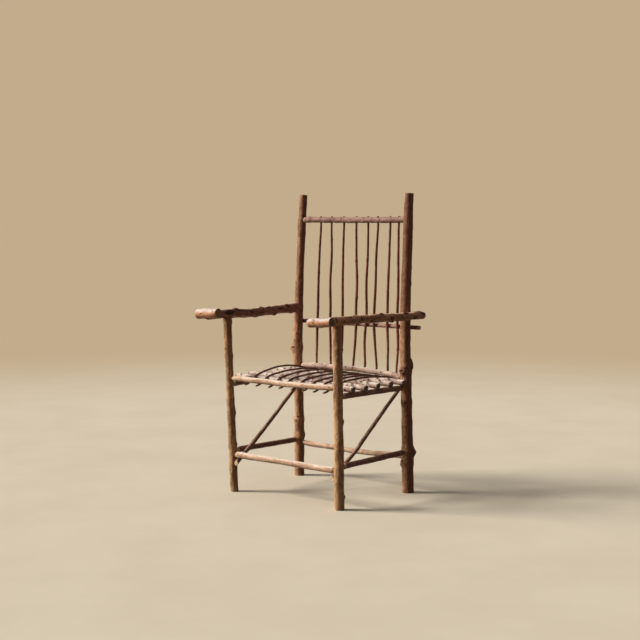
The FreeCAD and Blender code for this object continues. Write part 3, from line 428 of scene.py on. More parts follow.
    def paint_light(self, turn, amount, spread=0.2):
        """Paints light along one side of the twig: a pale band there."""
        away = abs((self.around - turn + 0.5) % 1 - 0.5) / spread
        self.painted_light = np.maximum(self.painted_light, amount * np.exp(-away ** 2)[None, :])

    def darken(self, low, high, amount):
        """Paints shade on an upright twig, darker upward from one height to another."""
        climb = np.clip((self.line[:, 2] - low) / (high - low), 0, 1)
        self.tone_and_shade -= amount * climb[:, None]

    def paint_shaded_side(self, turn, amount):
        """Paints shade down one side of the twig, darkening it there."""
        facing = np.clip(np.cos((self.around - turn) * FULL_TURN) + 0.3, 0, 1)
        self.tone_and_shade -= amount * facing[None, :]

    def dark_patch(self, run, turn, length, width):
        """Blackens a patch of bark with a ragged edge: black marks and painted shadows."""
        wobble = lumps(self.dice, self.run, self.around, 0.5 * width, 11)
        side = ((self.around[None, :] - turn + 0.5) % 1 - 0.5) * FULL_TURN * self.radius[:, None]
        distance = ((self.run - run)[:, None] / length) ** 2 + (side / width) ** 2
        self.knots = np.maximum(self.knots, 1.3 * np.exp(-(distance * (1 + 0.4 * wobble)) ** 2))

    def axes(self):
        """The twig's direction at each ring, and the two directions square to it."""
        tangent = np.gradient(self.line, axis=0)
        tangent /= np.linalg.norm(tangent, axis=1)[:, None]
        side = np.array(self.top) - (tangent @ np.array(self.top))[:, None] * tangent
        side /= np.linalg.norm(side, axis=1)[:, None]
        return tangent, side, np.cross(tangent, side)

    def make(self, bark, sawn, slot, body="root"):
        """Builds the mesh, gives it its finishes and puts it in the chair for its CAD stick."""
        grid = Grid()
        tangent, side, front = self.axes()
        reach = self.radius[:, None] + self.relief
        grid.tube(self.line, tangent, side, front, reach, self.run + self.start,
                  {"knot": self.knots, "whittled": self.whittled, "painted_light": self.painted_light,
                   "tone_and_shade": self.tone_and_shade}, self.sawn_upright)
        for run, turn, radius, proud in self.stubs:
            self.branch(grid, run, turn, radius, proud, (tangent, side, front))
        self.laid[self.node] = self
        piece = grid.piece(self.node + "_twig", bark, sawn)
        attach(piece, body)
        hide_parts(self.node)

    def branch(self, grid, run, turn, radius, proud, axes):
        """Adds a sawn stub, flared where it leaves the twig."""
        row = int(np.argmin(abs(self.run - run)))
        tangent, side, front = (axis[row] for axis in axes)
        angle = turn * FULL_TURN
        out = math.cos(angle) * side + math.sin(angle) * front
        way = out + self.STUB_LEAN * tangent
        way /= np.linalg.norm(way)
        skin = self.radius[row]
        reaches = np.array([0.25 * skin, 0.7 * skin, 0.95 * skin, skin + 0.25 * proud,
                            skin + 0.6 * proud, skin + proud])
        widths = radius * np.array([1.2, 1.6, 1.42, 1.15, 1.02, 0.9])
        line = self.line[row] + reaches[:, None] * way
        brow = np.cross(way, tangent)
        brow /= np.linalg.norm(brow)
        around = np.arange(self.STUB_CIRCLE) / self.STUB_CIRCLE
        ones = np.ones((len(reaches), 1))
        relief = 0.10 * radius * lumps(self.dice, reaches - reaches[0], around, 4 * MM, 5)
        grid.tube(line, ones * way, ones * brow, ones * np.cross(way, brow),
                  widths[:, None] + relief, reaches + self.start,
                  {"knot": 0 * relief + 0.3, "whittled": 0 * relief, "painted_light": 0 * relief,
                   "tone_and_shade": 0 * relief + self.tone_and_shade[row, 0]})


END_ROWS = 4


def extended(where, places, column):
    """Values at places along a line, carried on straight past both of its ends."""
    inside = np.interp(where, places, column)
    near = (column[END_ROWS] - column[0]) / (places[END_ROWS] - places[0])
    far = (column[-1] - column[-1 - END_ROWS]) / (places[-1] - places[-1 - END_ROWS])
    before = np.minimum(where - places[0], 0) * near
    after = np.maximum(where - places[-1], 0) * far
    return inside + before + after


class Grid:
    """A mesh in the making: points, what each carries, and faces of bark or of sawn wood."""

    CAP_SHARES = (0.94, 0.8, 0.6, 0.4, 0.2, 0.08)
    CHAMFER = 0.7 * MM
    SLANTED = 6
    SHARP_EDGE = 38

    def __init__(self):
        self.points = []
        self.carried = {"grain": [], "knot": [], "whittled": [], "painted_light": [], "tone_and_shade": [],
                        "depth": []}
        self.faces = []
        self.sawn = []
        self.count = 0

    def tube(self, line, tangent, side, front, reach, run, marks, upright=False):
        """Adds rings of points along a line, closed by a sawn lid at each end.

        With upright, the first lid stands square to the chair's depth and not to the stick.
        """
        circle = reach.shape[1]
        angles = np.arange(circle) / circle * FULL_TURN
        rows = []
        lids = [(0, share) for share in reversed(self.CAP_SHARES)]
        order = lids + [(row, 1) for row in range(len(line))]
        order += [(len(line) - 1, share) for share in self.CAP_SHARES]
        for row, share in order:
            arm = reach[row] * share
            if row in (0, len(line) - 1) and share == 1:
                arm = reach[row] - self.CHAMFER
            wheel = np.cos(angles)[:, None] * side[row] + np.sin(angles)[:, None] * front[row]
            ring = line[row] + arm[:, None] * wheel
            if upright and row < self.SLANTED:
                slide = (line[row][1] - ring[:, 1]) / tangent[row][1] * (1 - row / self.SLANTED)
                ring = ring + slide[:, None] * tangent[row]
            rows.append(ring)
            round_place = np.column_stack([arm * np.cos(angles), arm * np.sin(angles),
                                           np.full(circle, run[row])])
            self.carried["grain"].append(round_place)
            for mark, values in marks.items():
                self.carried[mark].append(values[row])
            self.carried["depth"].append(np.full(circle, float(share)))
        caps = len(self.CAP_SHARES)
        points = np.concatenate(rows)
        first = self.count
        for ring in range(len(order) - 1):
            low = first + ring * circle
            turn = np.arange(circle)
            after = (turn + 1) % circle
            quads = np.column_stack([low + turn, low + after, low + circle + after,
                                     low + circle + turn])
            self.faces += quads.tolist()
            sawn = ring < caps or ring >= len(order) - 1 - caps
            self.sawn += [sawn] * circle
        last = first + (len(order) - 1) * circle
        hubs = first + len(points)
        for hub, low, row, backwards in ((hubs, first, 0, True), (hubs + 1, last, -1, False)):
            for turn in range(circle):
                pair = [low + turn, low + (turn + 1) % circle]
                self.faces.append((pair[::-1] if backwards else pair) + [hub])
                self.sawn.append(True)
            self.carried["grain"].append(np.array([[0, 0, run[row]]]))
            for mark in marks:
                self.carried[mark].append(np.zeros(1))
            self.carried["depth"].append(np.zeros(1))
        self.points.append(points)
        self.points.append(np.array([line[0], line[-1]]))
        self.count += len(points) + 2

    def piece(self, name, bark, sawn):
        """Makes an object of the mesh."""
        mesh = bpy.data.meshes.new(name)
        mesh.from_pydata(np.concatenate(self.points).tolist(), [], self.faces)
        for carried, values in self.carried.items():
            kind = "FLOAT_VECTOR" if carried == "grain" else "FLOAT"
            field = "vector" if carried == "grain" else "value"
            written = mesh.attributes.new(carried, kind, "POINT")
            written.data.foreach_set(field, np.concatenate(values).astype(np.float32).ravel())
        mesh.materials.append(bark)
        mesh.materials.append(sawn)
        mesh.polygons.foreach_set("material_index", np.array(self.sawn, int))
        mesh.shade_smooth()
        mesh.set_sharp_from_angle(angle=math.radians(self.SHARP_EDGE))
        mesh.validate()
        piece = bpy.data.objects.new(name, mesh)
        bpy.context.scene.collection.objects.link(piece)
        return piece


post_bark = bark_finish("post_bark", pale=shade(250, 216, 164), middle=shade(214, 162, 116),
                        deep=shade(132, 84, 60), knot=shade(70, 38, 30), shaded=shade(116, 64, 46),
                        highlight=shade(250, 226, 186))
post_sawn = sawn_finish("post_sawn", fresh=shade(206, 172, 128), ring=shade(160, 114, 74),
                        rim=shade(82, 52, 36))
SADDLE_DEPTH = 25 * MM
HIDDEN_TOP = 12 * MM
# Painted shade: the front posts darken upward under the arms that they carry.
FRONT_DARKENS = (0.48, 0.64)
# Painted shade: each post darkens on the side turned from the lamp, to the right and a little to
# the back.
SHADED_SIDE = 0.10

# Each row of a stub or knot: its height above the floor in metres, its turn round the post from
# the right side towards the back, its radius or width and how far it stands proud, both in mm.
FRONT_STUBS = {
    "front_post_left": [(0.2915, 0.083, 5.2, 4.0), (0.175, 0.12, 4.2, 2.8)],
    "front_post_right": [(0.557, 0.09, 4.6, 3.0), (0.305, 0.097, 5.2, 4.0),
                         (0.043, 0.10, 4.4, 3.4)],
}
FRONT_KNOTS = {
    "front_post_left": [(0.63, 0.11, 7, 2.2), (0.505, 0.11, 8, 2.2), (0.48, 0.80, 7, 1.2),
                        (0.385, 0.70, 6, 1.0), (0.62, 0.92, 9, 1.6), (0.09, 0.40, 7, 1.4),
                        (0.34, 0.55, 8, 1.6), (0.22, 0.33, 7, 1.2)],
    "front_post_right": [(0.56, 0.88, 9, 1.4), (0.405, 0.70, 7, 1.2), (0.12, 0.66, 8, 1.6),
                         (0.50, 0.48, 8, 1.4), (0.24, 0.42, 7, 1.3), (0.36, 0.62, 6, 1.0)],
}
for node, stubs in FRONT_STUBS.items():
    post = Stick(node, "up", sound=(2 * MM, SADDLE_DEPTH), reach=(0, -HIDDEN_TOP))
    post.bark(1.1)
    post.scatter_knots(14, 1.3 * MM, 6 * MM, 0.75)
    post.darken(*FRONT_DARKENS, 0.11)
    post.paint_shaded_side(SHADED_SIDE, 0.07)
    for height, turn, width, rise in FRONT_KNOTS[node]:
        post.knot(post.at_height(height), turn, rise * MM, width * MM, 0.6, 0.55)
    for height, turn, radius, proud in stubs:
        post.stub(post.at_height(height), turn, radius * MM, proud * MM)
    post.make(post_bark, post_sawn, "post_bark")

# Back posts. Two stouter poles, bent by nature just over the arms and sawn off square at the top.
# The left one has one big stub outside, the right one a swelling where the low stretcher enters.

BACK_STUBS = {
    "back_post_left": [(0.497, 0.60, 7.4, 5.5), (0.163, 0.06, 5.4, 4.5)],
    "back_post_right": [(0.479, 0.111, 8.4, 5.5), (0.150, 0.08, 7.0, 3.5)],
}
BACK_BURLS = {
    "back_post_left": [(0.226, 0.80, 13, 4.2), (0.160, 0.95, 13, 4.0), (0.508, 0.64, 12, 3.6)],
    "back_post_right": [(0.451, 0.79, 15, 6.0), (0.469, 0.11, 14, 2.4), (0.114, 0.66, 14, 4.4),
                        (0.150, 0.10, 17, 3.6), (0.335, 0.78, 11, 2.6)],
}
BACK_KNOTS = {
    "back_post_left": [(0.30, 0.76, 6, 1.2), (0.40, 0.55, 9, 1.6), (0.72, 0.70, 9, 1.2),
                       (0.86, 0.30, 8, 1.2), (0.95, 0.75, 7, 0.8), (0.62, 0.18, 8, 1.4)],
    "back_post_right": [(0.66, 0.76, 9, 1.0), (0.80, 0.60, 8, 1.0), (0.92, 0.20, 8, 1.2),
                        (0.25, 0.35, 9, 1.5), (0.56, 0.45, 8, 1.2)],
}
# Painted shade: the back posts darken upward from below the arms.
BACK_DARKENS = (0.52, 0.72)
DARKER_TOP = {"back_post_left": 0.10, "back_post_right": 0.12}
# Painted shade on the side turned from the lamp, deepest on the right back post.
SIDE_SHADE = {"back_post_left": 0.14, "back_post_right": 0.30}
# Dark hollows in the whorls and knots, with the half length and half width of each in mm.
BACK_STAINS = {
    "back_post_left": [(0.508, 0.70, 3, 7), (0.236, 0.82, 3, 6)],
    "back_post_right": [(0.463, 0.83, 3, 6), (0.455, 0.75, 4, 3), (0.443, 0.79, 3, 5),
                        (0.335, 0.82, 4, 5), (0.472, 0.111, 15, 9), (0.120, 0.70, 4, 7)],
}
back_bark = bark_finish("back_post_bark", pale=shade(238, 196, 152), middle=shade(202, 146, 110),
                        deep=shade(128, 76, 56), knot=shade(52, 28, 24),
                        highlight=shade(238, 208, 170), blotches=0.5, shaded=shade(92, 44, 34))
for node, stubs in BACK_STUBS.items():
    post = Stick(node, "up")
    post.bark(1.2)
    post.scatter_knots(18, 1.3 * MM, 7 * MM, 0.75)
    post.darken(*BACK_DARKENS, DARKER_TOP[node])
    post.paint_shaded_side(SHADED_SIDE, SIDE_SHADE[node])
    for height, turn, width, rise in BACK_BURLS[node]:
        post.burl(post.at_height(height), turn, rise * MM, width * MM)
    for height, turn, width, rise in BACK_KNOTS[node]:
        post.knot(post.at_height(height), turn, rise * MM, width * MM, 0.6, 0.45)
    for height, turn, length, width in BACK_STAINS[node]:
        post.dark_patch(post.at_height(height), turn, length * MM, width * MM)
    for height, turn, radius, proud in stubs:
        post.stub(post.at_height(height), turn, radius * MM, proud * MM)
    post.make(back_bark, post_sawn, "post_bark")

# Seat frame. Two side rails, a front rail and a rear rail that bows upward. Both ends of each are
# whittled with a knife to round tenons, which sit in holes bored in the posts.

TENON_LENGTH = 20 * MM
SHOULDER = 8 * MM
TENON_SHARE = 0.56
SOUND_TENON = TENON_LENGTH + 9 * MM
RAIL_CIRCLE = 36


def rail(node, heading, bark, coarse=1.0, knots=4, peeled=(9, 8), slivers=(0, 0), painted_light=0.3,
         tenon=TENON_LENGTH, shoulder=SHOULDER):
    """A stick between two posts, with a whittled tenon at each end."""
    stick = Stick(node, heading, sound=(SOUND_TENON, SOUND_TENON), circle=RAIL_CIRCLE)
    stick.bark(coarse)
    stick.crook(0.8 * MM, 90 * MM)
    stick.scatter_knots(knots, 1.1 * MM, 6.5 * MM, 1.0)
    # Painted highlight along the top of the stick.
    stick.paint_light(0, painted_light)
    for end, bare in enumerate(peeled):
        stick.whittle(end, tenon, shoulder, TENON_SHARE, bare * MM, slivers[end] * MM)
    stick.make(bark, rail_sawn, "rail_bark")


rail_bark = bark_finish("rail_bark", pale=shade(248, 222, 194), middle=shade(228, 186, 154),
                        deep=shade(178, 126, 96), knot=shade(104, 60, 46),
                        highlight=shade(252, 238, 222), blotches=0.4,
                        streaks=0.6, roughness=0.48)
# A darker bark: painted shade on the side seat rails and side stretchers, which stand in shade. The
# braces have it too.
dark_rail_bark = bark_finish("dark_rail_bark", pale=shade(176, 134, 110),
                             middle=shade(134, 94, 76), deep=shade(88, 56, 46),
                             knot=shade(58, 34, 28), highlight=shade(206, 172, 150))
rail_sawn = sawn_finish("rail_sawn", fresh=shade(250, 226, 188), ring=shade(226, 188, 142),
                        rim=shade(120, 76, 52))
rail("front_seat_rail", "across", rail_bark, peeled=(22, 9), slivers=(26, 0), painted_light=0.8)
rear_bark = bark_finish("rear_rail_bark", pale=shade(240, 220, 204), middle=shade(210, 176, 156),
                        deep=shade(152, 110, 92), knot=shade(80, 44, 36),
                        highlight=shade(248, 234, 222), blotches=0.5, roughness=0.52)
rail("rear_seat_rail", "across", rear_bark, coarse=1.5, knots=16, painted_light=0.6)
# The side rails take the darker bark as painted shade: they lie in shade under the logs.
for side in ("left", "right"):
    rail("side_seat_rail_" + side, "along", dark_rail_bark, painted_light=0)

# Low stretchers. Four sticks tie the legs a hand above the floor, tenoned like the seat rails. The
# front one is the smoothest; the side ones are rougher, and their darker bark is painted shade.

rail("front_stretcher", "across", rail_bark, coarse=0.9, peeled=(18, 7), painted_light=0.8)
rail("rear_stretcher", "across", rail_bark, coarse=1.2, painted_light=0.4)
for side in ("left", "right"):
    rail("side_stretcher_" + side, "along", dark_rail_bark, coarse=1.2)

# Diagonal braces. A straight whip on each side, nailed inside the front leg near the floor and
# inside the back leg at the seat. Its lower end is sawn upright and shows fresh wood and pith.

BRACE_SOUND = 20 * MM
BRACE_TAPER = 0.9
for side in ("left", "right"):
    brace = Stick("diagonal_brace_" + side, "along", sound=(BRACE_SOUND, BRACE_SOUND),
                  reach=(4 * MM, 0), circle=28)
    brace.radius = brace.radius * np.linspace(1.0, BRACE_TAPER, len(brace.run))
    brace.bark(0.8)
    brace.crook(1.2 * MM, 120 * MM)
    brace.scatter_knots(4, 0.8 * MM, 4.5 * MM)
    # Painted highlight along the top of the brace.
    brace.paint_light(0, 0.55, 0.22)
    brace.sawn_upright = True
    brace.make(dark_rail_bark, rail_sawn, "rail_bark")

# Back. The top rail is tenoned between the back posts, and the spindles come up through it. The
# middle rail lies behind both posts, nailed, and runs out past the right one.

top_bark = bark_finish("top_rail_bark", pale=shade(204, 170, 154), middle=shade(164, 124, 110),
                       deep=shade(106, 68, 62), knot=shade(60, 36, 34),
                       highlight=shade(236, 214, 206), blotches=0.75, streaks=0.6)
rail("top_rail", "across", top_bark, coarse=1.8, knots=16, peeled=(5, 5), painted_light=0.35,
     tenon=16 * MM, shoulder=3 * MM)
middle_rail = Stick("mid_back_rail", "across", circle=32)
middle_rail.bark(1.2)
middle_rail.scatter_knots(6, 0.9 * MM, 5 * MM)
middle_rail.make(top_bark, rail_sawn, "rail_bark")

# Back spindles. Eight thin dark whips, each a little crooked, spring from holes in the rear seat
# rail, lean back on the middle rail and poke out of the top rail.

whip_bark = bark_finish("whip_bark", pale=shade(170, 106, 82), middle=shade(118, 64, 50),
                        deep=shade(70, 33, 28), knot=shade(40, 21, 18),
                        highlight=shade(186, 128, 100), pores=0.3,
                        roughness=0.46)
whip_sawn = sawn_finish("whip_sawn", fresh=shade(222, 180, 138), ring=shade(180, 132, 94),
                        rim=shade(58, 32, 26))
SPINDLE_GIRTH = 1.2
WHIP_CIRCLE = 18
for number in range(1, 9):
    spindle = Stick("back_spindle_%d" % number, "up", reach=(0, -3 * MM), ease=5,
                    circle=WHIP_CIRCLE)
    spindle.radius = spindle.radius * SPINDLE_GIRTH
    spindle.bark(1.2)
    spindle.crook(2.4 * MM, 110 * MM)
    spindle.scatter_knots(9, 1.1 * MM, 4 * MM)
    spindle.make(whip_bark, whip_sawn, "twig_bark")

# Arms. Two knotty branches of one bark: the left one's darker colours are painted shade and the
# right one's lighter colours painted light from the floor. Each lies on its front post, enters the
# back of the hand grip, and ends at the back post: the left one in it, the right one outside it.

# The left arm's bark is the shaded copy: its darker colours are painted shade.
arm_bark = bark_finish("arm_bark", pale=shade(200, 146, 122), middle=shade(146, 92, 76),
                       deep=shade(80, 42, 38), knot=shade(32, 18, 18),
                       highlight=shade(240, 212, 188), blotches=0.65, roughness=0.6)
# The right arm's bark is the lit copy: its lighter colours are painted light thrown up from the
# floor.
lit_arm_bark = bark_finish("lit_arm_bark", pale=shade(226, 176, 134),
                             middle=shade(196, 140, 102), deep=shade(132, 84, 60),
                             knot=shade(50, 28, 24), highlight=shade(240, 208, 178), blotches=0.6,
                             roughness=0.6)
ARM_BARK = {"arm_left": arm_bark, "arm_right": lit_arm_bark}
arm_sawn = sawn_finish("arm_sawn", fresh=shade(178, 140, 98), ring=shade(136, 96, 62),
                       rim=shade(56, 36, 28))
# Each row: the share of the arm's length, the turn from the top towards the right, the width or
# radius and how far it stands proud, both in mm.
ARM_KNOTS = {
    "arm_left": [(0.28, 0.99, 13, 4.4), (0.43, 0.22, 7, 1.6), (0.557, 0.99, 12, 4.4),
                 (0.64, 0.05, 7, 2.8), (0.83, 0.10, 9, 2.4), (0.70, 0.44, 8, 3.6),
                 (0.50, 0.50, 9, 3.4), (0.90, 0.47, 8, 2.6), (0.20, 0.16, 10, 2.0),
                 (0.36, 0.66, 8, 2.4)],
    "arm_right": [(0.20, 0.24, 7, 1.6), (0.32, 0.97, 9, 2.8), (0.45, 0.20, 7, 1.8),
                  (0.57, 0.03, 9, 3.4), (0.66, 0.38, 10, 3.8), (0.80, 0.01, 10, 3.2),
                  (0.95, 0.97, 9, 3.4), (0.75, 0.20, 7, 1.6), (0.54, 0.62, 8, 2.4)],
}
ARM_STUBS = {
    "arm_left": [(0.27, 0.96, 3.4, 3.0), (0.557, 0.97, 3.0, 2.0), (0.70, 0.46, 3.0, 3.0)],
    "arm_right": [(0.67, 0.42, 3.4, 3.6), (0.90, 0.97, 3.0, 2.6)],
}
# Black patches, with the half length and half width of each in mm. On the left arm, the wide one at
# 0.20 is the grip's painted shadow and the long thin one at 0.33 a painted shadow line along the
# top.
ARM_DARK_PATCHES = {
    "arm_left": [(0.20, 0.20, 26, 10), (0.434, 0.19, 8, 7), (0.835, 0.13, 9, 7),
                 (0.612, 0.08, 7, 4), (0.33, 0.12, 36, 5), (0.70, 0.40, 5, 4),
                 (0.91, 0.40, 6, 4), (0.75, 0.20, 18, 3)],
    "arm_right": [(0.13, 0.20, 4, 9), (0.37, 0.20, 4, 9), (0.57, 0.07, 7, 6),
                  (0.655, 0.26, 9, 5), (0.80, 0.08, 13, 7), (0.97, 0.14, 11, 8),
                  (0.47, 0.34, 9, 4), (0.27, 0.10, 8, 4), (0.88, 0.33, 14, 5)],
}
KNOT_RISE = 1.25
ARM_SOUND = {"arm_left": (32 * MM, 32 * MM), "arm_right": (32 * MM, 3 * MM)}
for node, knots in ARM_KNOTS.items():
    arm = Stick(node, "along", sound=ARM_SOUND[node], ease=8)
    arm.bark(1.5)
    arm.crook(1.4 * MM, 110 * MM)
    for share, turn, width, rise in knots:
        arm.knot(arm.length * share, turn, KNOT_RISE * rise * MM, width * MM, 0.9)
    for share, turn, length, width in ARM_DARK_PATCHES[node]:
        arm.dark_patch(arm.length * share, turn, length * MM, width * MM)
    # Painted light: a pale highlight along the top and a paler band low on the right side, lit from
    # the floor.
    arm.paint_light(0.98, 0.75, 0.13)
    arm.paint_light(0.37, 0.45, 0.08)
    for share, turn, radius, proud in ARM_STUBS[node]:
        arm.stub(arm.length * share, turn, radius * MM, proud * MM)
    arm.make(ARM_BARK[node], arm_sawn, "arm_bark")

# Hand grips. A short peeled log lies across the front of each arm, sawn square at both ends. Its
# top is painted pale as light from above, and its underside keeps an orange inner bark.

grip_bark = bark_finish("grip_wood", pale=shade(236, 184, 140), middle=shade(220, 156, 112),
                        deep=shade(176, 108, 70), knot=shade(84, 44, 32),
                        highlight=shade(236, 228, 224), blotches=0.6,
                        streaks=0.7, pores=0.2, roughness=0.42)
# The end seen on each grip faces the shaded side, and its dark colour is painted shade: brown on
# the left one, nearly black on the right one.
GRIP_SAWN = {
    "left": sawn_finish("grip_sawn", fresh=shade(152, 120, 84), ring=shade(104, 78, 54),
                        rim=shade(48, 32, 24)),
    "right": sawn_finish("shaded_grip_sawn", fresh=shade(72, 58, 48), ring=shade(48, 38, 32),
                         rim=shade(104, 78, 60)),
}
for side in ("left", "right"):
    grip = Stick("hand_grip_" + side, "across", ease=4)
    grip.bark(0.7)
    grip.scatter_knots(12, 0.7 * MM, 5 * MM, 1.0)
    grip.dark_patch(0.3 * grip.length, 0.24, 3 * MM, 3 * MM)
    # Painted highlight along the top.
    grip.paint_light(0.0, 1.0, 0.21)
    grip.make(grip_bark, GRIP_SAWN[side], "grip_wood")

# Seat logs. Five short logs with pale, peeling bark lie across the side rails. Dark red knots show
# where their side twigs were cut off flush.

log_bark = bark_finish("log_bark", pale=shade(250, 236, 222), middle=shade(222, 194, 176),
                       deep=shade(160, 116, 100), knot=shade(58, 28, 24),
                       highlight=shade(255, 248, 240), blotches=0.55,
                       streaks=0.45, pores=0.55, roughness=0.6)
# The logs' sawn ends are painted dark as shade.
log_sawn = sawn_finish("log_sawn", fresh=shade(78, 56, 44), ring=shade(58, 42, 34),
                       rim=shade(36, 24, 20))
for number in range(1, 6):
    log = Stick("seat_log_%d" % number, "across", ease=7, circle=36)
    log.bark(1.5)
    log.scatter_knots(26, 1.8 * MM, 7.4 * MM, 1.4)
    # Painted shade at each end, on the front and underneath, where the logs lie on the rails.
    for end in (0, log.length):
        log.dark_patch(end, 0.25, 5 * MM, 9 * MM)
        log.dark_patch(end, 0.55, 4 * MM, 14 * MM)
    # Painted highlight along the top of the log.
    log.paint_light(0, 0.5, 0.3)
    log.make(log_bark, log_sawn, "log_bark")

# Seat rods. Eight green rods, sprung from front to back: under the front rail, over the logs and
# under the rear rail. They have dried dark and hold the seat by their own spring.

rod_bark = bark_finish("rod_bark", pale=shade(150, 92, 76), middle=shade(98, 50, 42),
                       deep=shade(58, 28, 26), knot=shade(34, 18, 16),
                       highlight=shade(168, 112, 90), pores=0.3, roughness=0.44)
for number in range(1, 9):
    rod = Stick("seat_rod_%d" % number, "along", reach=(-12 * MM, 0), ease=3, circle=WHIP_CIRCLE)
    rod.bark(1.0)
    rod.scatter_knots(5, 0.5 * MM, 3.0 * MM)
    rod.make(rod_bark, whip_sawn, "twig_bark")

# Nails. Wire nails with small rusty heads fix what has no tenon: the logs on the side rails, the
# braces and the right arm on their posts, and the middle rail behind the back posts.

nail_iron = Finish("nail_iron")
rust_place = nail_iron.node("ShaderNodeTexCoord", {}, {}, "Object")
rust = nail_iron.noise(nail_iron.stretched(rust_place, 900, 900), 3.0, 0.6)
nail_iron.feed(nail_iron.shader.inputs["Base Color"],
               nail_iron.mix(rust.between(0.4, 0.6), shade(74, 60, 54), shade(104, 62, 44)))
nail_iron.feed(nail_iron.shader.inputs["Metallic"], 0.8 - rust.between(0.4, 0.6) * 0.6)
nail_iron.feed(nail_iron.shader.inputs["Roughness"], rust * 0.3 + 0.45)
NAIL_HEIGHTS = np.array([-3.0, -0.2, 0.5, 0.9]) * MM
NAIL_RADII = np.array([1.1, 2.0, 2.1, 1.6]) * MM
NAIL_CIRCLE = 14
# Turns from the top of a twig to the chair's right, left and back.
TO_RIGHT, TO_LEFT, TO_BACK = 0.25, 0.75, 0.75
# How far up each post its brace crosses it, as a share of the post's height.
BRACE_CROSSINGS = {"front_post_": 0.15, "back_post_": 0.35}
nails = Grid()


def drive_nail(node, axis, place, turn):
    """Drives a nail square into a twig, where it passes a place along one of the chair's axes."""
    twig = Stick.laid[node]
    row = int(np.argmin(abs(twig.line[:, axis] - place)))
    tangent, side, front = (way[row] for way in twig.axes())
    angle = turn * FULL_TURN
    out = math.cos(angle) * side + math.sin(angle) * front
    column = int(turn * twig.circle) % twig.circle
    skin = twig.radius[row] + twig.relief[row, column]
    ones = np.ones((len(NAIL_HEIGHTS), 1))
    plain = np.zeros((len(NAIL_HEIGHTS), NAIL_CIRCLE))
    nails.tube(twig.line[row] + (skin + NAIL_HEIGHTS)[:, None] * out, ones * out, ones * tangent,
               ones * np.cross(out, tangent), NAIL_RADII[:, None] + plain, NAIL_HEIGHTS,
               dict.fromkeys(("knot", "whittled", "painted_light", "tone_and_shade"), plain))


for side, inward in (("left", TO_RIGHT), ("right", TO_LEFT)):
    rail_line = Stick.laid["side_seat_rail_" + side].line
    for number in range(1, 6):
        log = "seat_log_%d" % number
        log_along = Stick.laid[log].line[0, 1]
        drive_nail(log, 0, np.interp(log_along, rail_line[:, 1], rail_line[:, 0]), 0)
    for post, crossing in BRACE_CROSSINGS.items():
        post_line = Stick.laid[post + side].line
        drive_nail("diagonal_brace_" + side, 1, post_line[int(len(post_line) * crossing), 1],
                   inward)
    rail_height = Stick.laid["mid_back_rail"].line[0, 2]
    post_line = Stick.laid["back_post_" + side].line
    drive_nail("mid_back_rail", 0, np.interp(rail_height, post_line[:, 2], post_line[:, 0]),
               TO_BACK)
arm_height = Stick.laid["arm_right"].line[-1, 2]
drive_nail("arm_right", 1, np.interp(arm_height, post_line[:, 2], post_line[:, 1]), TO_RIGHT)
heads = nails.piece("nails", nail_iron.material, nail_iron.material)
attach(heads, "root")

# Studio. A pale floor takes the chair's shadow and fades into the plain backdrop. A far soft lamp
# stands front left, and a wide dim one overhead opens up the shadows.

BACKDROP = shade(194, 172, 140)
FADE_START, FADE_END = 2.2, 5.5
FLOOR_SIDE = 60.0
AMBIENT_STRENGTH = 0.055
floor = Finish("floor")
place = floor.node("ShaderNodeNewGeometry", {}, {}, "Position")
away = floor.node("ShaderNodeVectorMath", {"operation": "LENGTH"}, {0: place}, "Value")
mottle = floor.noise(floor.node("ShaderNodeVectorMath", {"operation": "SCALE"},
                                {0: place, "Scale": 2.2}), 5.0, 0.6)
looked_at = floor.looked_at()
pale = floor.mix(mottle.between(0.3, 0.7) * 0.4, shade(232, 222, 202), shade(216, 205, 184))
floor.feed(floor.shader.inputs["Base Color"], floor.mix(looked_at, shade(84, 72, 62), pale))
floor.shader.inputs["Roughness"].default_value = 0.8
floor.shader.inputs["Specular IOR Level"].default_value = 0.2
lit = Value(floor, floor.shader.outputs[0])
glow = floor.node("ShaderNodeEmission", {}, {"Color": BACKDROP})
fade = floor.node("ShaderNodeMixShader", {},
                  {0: away.between(FADE_START, FADE_END) * looked_at, 1: lit, 2: glow})
floor.feed(floor.tree.nodes["Material Output"].inputs["Surface"], fade)
floor_mesh = bpy.data.meshes.new("floor")
corners = [(-1, -1), (1, -1), (1, 1), (-1, 1)]
floor_mesh.from_pydata([(x * FLOOR_SIDE / 2, y * FLOOR_SIDE / 2, 0) for x, y in corners], [],
                       [(0, 1, 2, 3)])
floor_mesh.materials.append(floor.material)
ground = bpy.data.objects.new("floor", floor_mesh)
bpy.context.scene.collection.objects.link(ground)

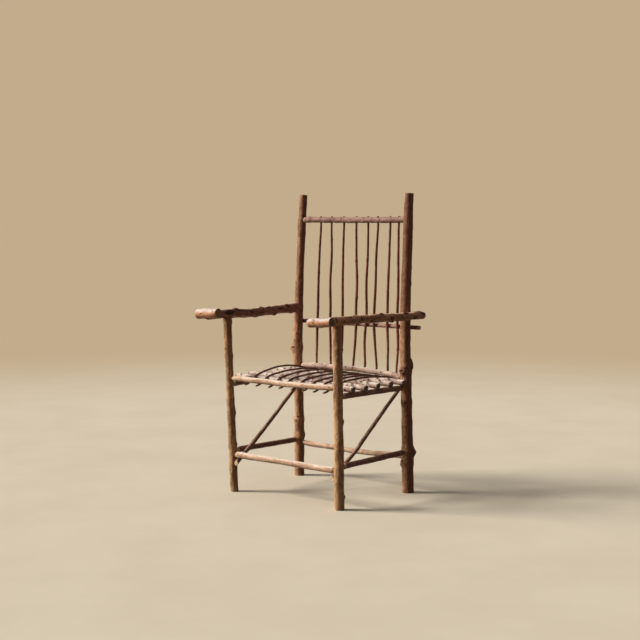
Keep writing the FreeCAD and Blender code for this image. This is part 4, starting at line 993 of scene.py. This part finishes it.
bpy.context.scene.world = bpy.data.worlds.new("studio")
sky = Finish("studio", bpy.context.scene.world)
sky.tree.nodes.remove(sky.tree.nodes["Background"])
ambient = sky.node("ShaderNodeBackground", {},
                   {"Color": shade(255, 224, 200), "Strength": AMBIENT_STRENGTH})
drop = sky.node("ShaderNodeBackground", {}, {"Color": BACKDROP})
sky.feed(sky.tree.nodes["World Output"].inputs["Surface"],
         sky.node("ShaderNodeMixShader", {}, {0: sky.looked_at(), 1: ambient, 2: drop}))

SUN_TURN = 217
SUN_HEIGHT = 32
SUN_SPREAD = 18
SUN_STRENGTH = 3.8
OVERHEAD_HEIGHT = 80
OVERHEAD_SPREAD = 80
OVERHEAD_STRENGTH = 0.55


def lamp(name, turn, height, spread, strength, colour):
    """A soft far lamp; turn and height say where it stands, in degrees."""
    light = bpy.data.lights.new(name, "SUN")
    light.energy = strength
    light.angle = math.radians(spread)
    light.color = colour[:3]
    stand = bpy.data.objects.new(name, light)
    stand.rotation_euler = (math.radians(90 - height), 0, math.radians(90 + turn))
    bpy.context.scene.collection.objects.link(stand)


lamp("front_left", SUN_TURN, SUN_HEIGHT, SUN_SPREAD, SUN_STRENGTH, shade(255, 248, 236))
lamp("overhead", SUN_TURN, OVERHEAD_HEIGHT, OVERHEAD_SPREAD, OVERHEAD_STRENGTH,
     shade(240, 244, 255))

# Camera. It stands as in the photograph: front right, a little lower than the chair's top and
# looking slightly down, with a long lens. Places are in metres and turns in degrees.

CAMERA_PLACE = (3.0636, -3.6617, 1.0047)
CAMERA_HEADING = 39.526
CAMERA_TILT = 85.616
CAMERA_ROLL = -0.068
SENSOR = 36.0
FOCAL_PIXELS = 1310.73
IMAGE_SIDE = 640
view = bpy.data.cameras.new("camera")
view.sensor_width = SENSOR
view.sensor_fit = "HORIZONTAL"
view.lens = SENSOR * FOCAL_PIXELS / IMAGE_SIDE
view.clip_end = 100
camera = bpy.data.objects.new("camera", view)
turned = (Matrix.Rotation(math.radians(CAMERA_HEADING), 3, "Z")
          @ Matrix.Rotation(math.radians(CAMERA_TILT), 3, "X")
          @ Matrix.Rotation(math.radians(CAMERA_ROLL), 3, "Z"))
camera.location = CAMERA_PLACE
camera.rotation_euler = turned.to_euler()
bpy.context.scene.collection.objects.link(camera)
bpy.context.scene.camera = camera
bpy.context.scene.view_settings.view_transform = "Standard"
